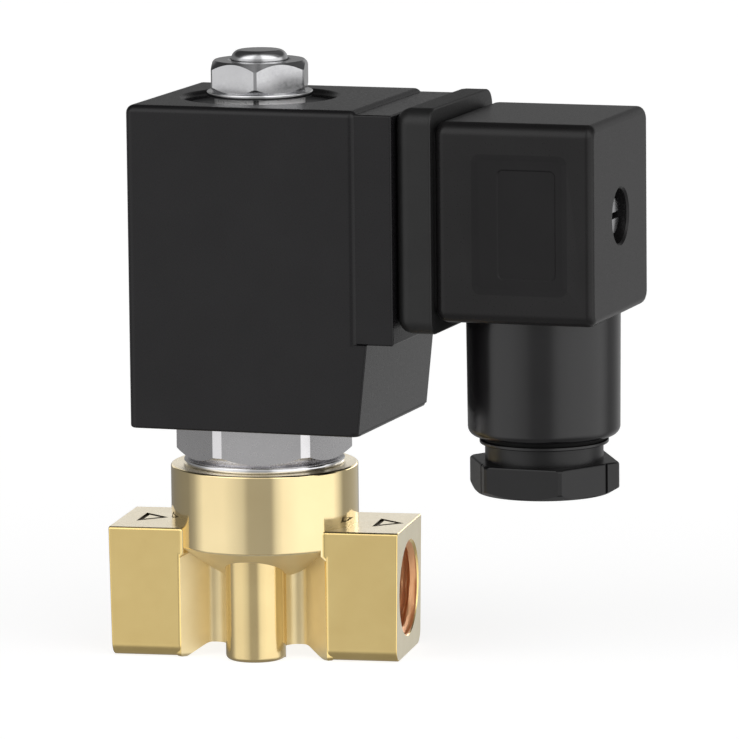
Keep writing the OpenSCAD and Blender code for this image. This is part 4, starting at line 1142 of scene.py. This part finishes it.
def studio_world():
    """Soft white studio: a wide box on each side of the camera, dark gaps between and a band above."""
    world = bpy.data.worlds.new("studio")
    world.use_nodes = True
    tree = world.node_tree
    new, link = tree.nodes.new, tree.links.new

    def math_node(operation, a, b):
        node = new("ShaderNodeMath")
        node.operation = operation
        for i, value in enumerate((a, b)):
            if isinstance(value, (int, float)):
                node.inputs[i].default_value = value
            else:
                link(value, node.inputs[i])
        return node.outputs["Value"]

    def blend(low, high, limits):
        share = new("ShaderNodeMapRange")
        share.interpolation_type = "SMOOTHSTEP"
        share.inputs["From Min"].default_value, share.inputs["From Max"].default_value = limits
        link(axes.outputs["Z"], share.inputs["Value"])
        rest = math_node("SUBTRACT", 1.0, share.outputs["Result"])
        return math_node("ADD", math_node("MULTIPLY", low, rest),
                         math_node("MULTIPLY", high, share.outputs["Result"]))

    def level_ramp(place, stops):
        node = new("ShaderNodeValToRGB")
        elements = node.color_ramp.elements
        while len(elements) < len(stops):
            elements.new(0.5)
        for element, (position, level) in zip(elements, stops):
            element.position = position
            element.color = (level, level, level, 1)
        link(place, node.inputs["Fac"])
        return node.outputs["Color"]

    axes = new("ShaderNodeSeparateXYZ")
    link(new("ShaderNodeTexCoord").outputs["Generated"], axes.inputs["Vector"])
    whole = 2 * math.pi
    angle = math_node("ARCTAN2", axes.outputs["X"], math_node("MULTIPLY", axes.outputs["Y"], -1.0))
    turn = math_node("SUBTRACT", math_node("DIVIDE", angle, whole), CAMERA_AZIMUTH / whole - 0.5)
    share = math_node("FRACT", turn, 0.0)
    around = level_ramp(share, [(degrees / 360 + 0.5, level) for degrees, level in STUDIO_ROUND])
    near = math_node("ADD", math_node("MULTIPLY", axes.outputs["X"], math.sin(CAMERA_AZIMUTH)),
                     math_node("MULTIPLY", axes.outputs["Y"], -math.cos(CAMERA_AZIMUTH)))
    climb = math_node("DIVIDE", math_node("ARCTAN2", axes.outputs["Z"], near), math.pi)
    over = level_ramp(climb, [(degrees / 180, level) for degrees, level in STUDIO_OVER])
    dimming = math_node("MINIMUM", math_node("DIVIDE", around, OVER_FULL), 1.0)
    level = blend(around, math_node("MULTIPLY", over, dimming), OVER_START)
    level = blend(level, math_node("MULTIPLY", dimming, FLOOR_LIGHT), FLOOR_START)
    level = blend(level, UNDER_LIGHT, UNDER_START)
    light = tree.nodes["Background"]
    link(level, light.inputs["Strength"])
    light.inputs["Color"].default_value = WHITE
    white = new("ShaderNodeBackground")
    white.inputs["Color"].default_value = WHITE
    mix = new("ShaderNodeMixShader")
    link(new("ShaderNodeLightPath").outputs["Is Camera Ray"], mix.inputs["Fac"])
    link(light.outputs["Background"], mix.inputs[1])
    link(white.outputs["Background"], mix.inputs[2])
    link(mix.outputs["Shader"], tree.nodes["World Output"].inputs["Surface"])
    bpy.context.scene.world = world


def linked_light(name, receiver, turn, climb, size, power):
    """Soft box that lights this piece and nothing else, at these degrees from the camera's side."""
    data = bpy.data.lights.new(name, "AREA")
    data.shape = "RECTANGLE"
    data.size, data.size_y = size
    data.energy = power
    lamp = bpy.data.objects.new(name, data)
    away = towards(math.radians(turn), math.radians(climb))
    lamp.location = CAMERA_AIM + away * LIGHT_DISTANCE
    lamp.rotation_mode = "QUATERNION"
    lamp.rotation_quaternion = away.to_track_quat("Z", "Y")
    lamp.visible_camera = False
    bpy.context.scene.collection.objects.link(lamp)
    lit = bpy.data.collections.new(name + "_receivers")
    lit.objects.link(receiver)
    lamp.light_linking.receiver_collection = lit


def camera():
    roll = CAMERA_ROLL
    back = towards(0, CAMERA_ELEVATION)
    right = Vector((math.cos(CAMERA_AZIMUTH), math.sin(CAMERA_AZIMUTH), 0))
    up = back.cross(right)
    x_axis = right * math.cos(roll) - up * math.sin(roll)
    y_axis = right * math.sin(roll) + up * math.cos(roll)
    data = bpy.data.cameras.new("camera")
    data.sensor_width = SENSOR
    data.lens = SENSOR * FOCAL_PIXELS / PICTURE
    data.clip_start, data.clip_end = CAMERA_CLIP
    eye = bpy.data.objects.new("camera", data)
    eye.location = CAMERA_AIM + back * CAMERA_DISTANCE + x_axis * CAMERA_SIDE + y_axis * CAMERA_LIFT
    eye.rotation_mode = "QUATERNION"
    eye.rotation_quaternion = Matrix((x_axis, y_axis, back)).transposed().to_quaternion()
    bpy.context.scene.collection.objects.link(eye)
    bpy.context.scene.camera = eye


floor()
studio_world()
linked_light("kicker", body_casting, turn=180, climb=18, size=(1.0, 0.5), power=1.1)
linked_light("washer_fill", split_washer, turn=25, climb=25, size=(0.6, 0.5), power=2.4)
linked_light("end_fill", body_casting, turn=140, climb=5, size=(0.6, 0.12), power=0.7)
camera()
bpy.context.scene.view_settings.view_transform = "Standard"
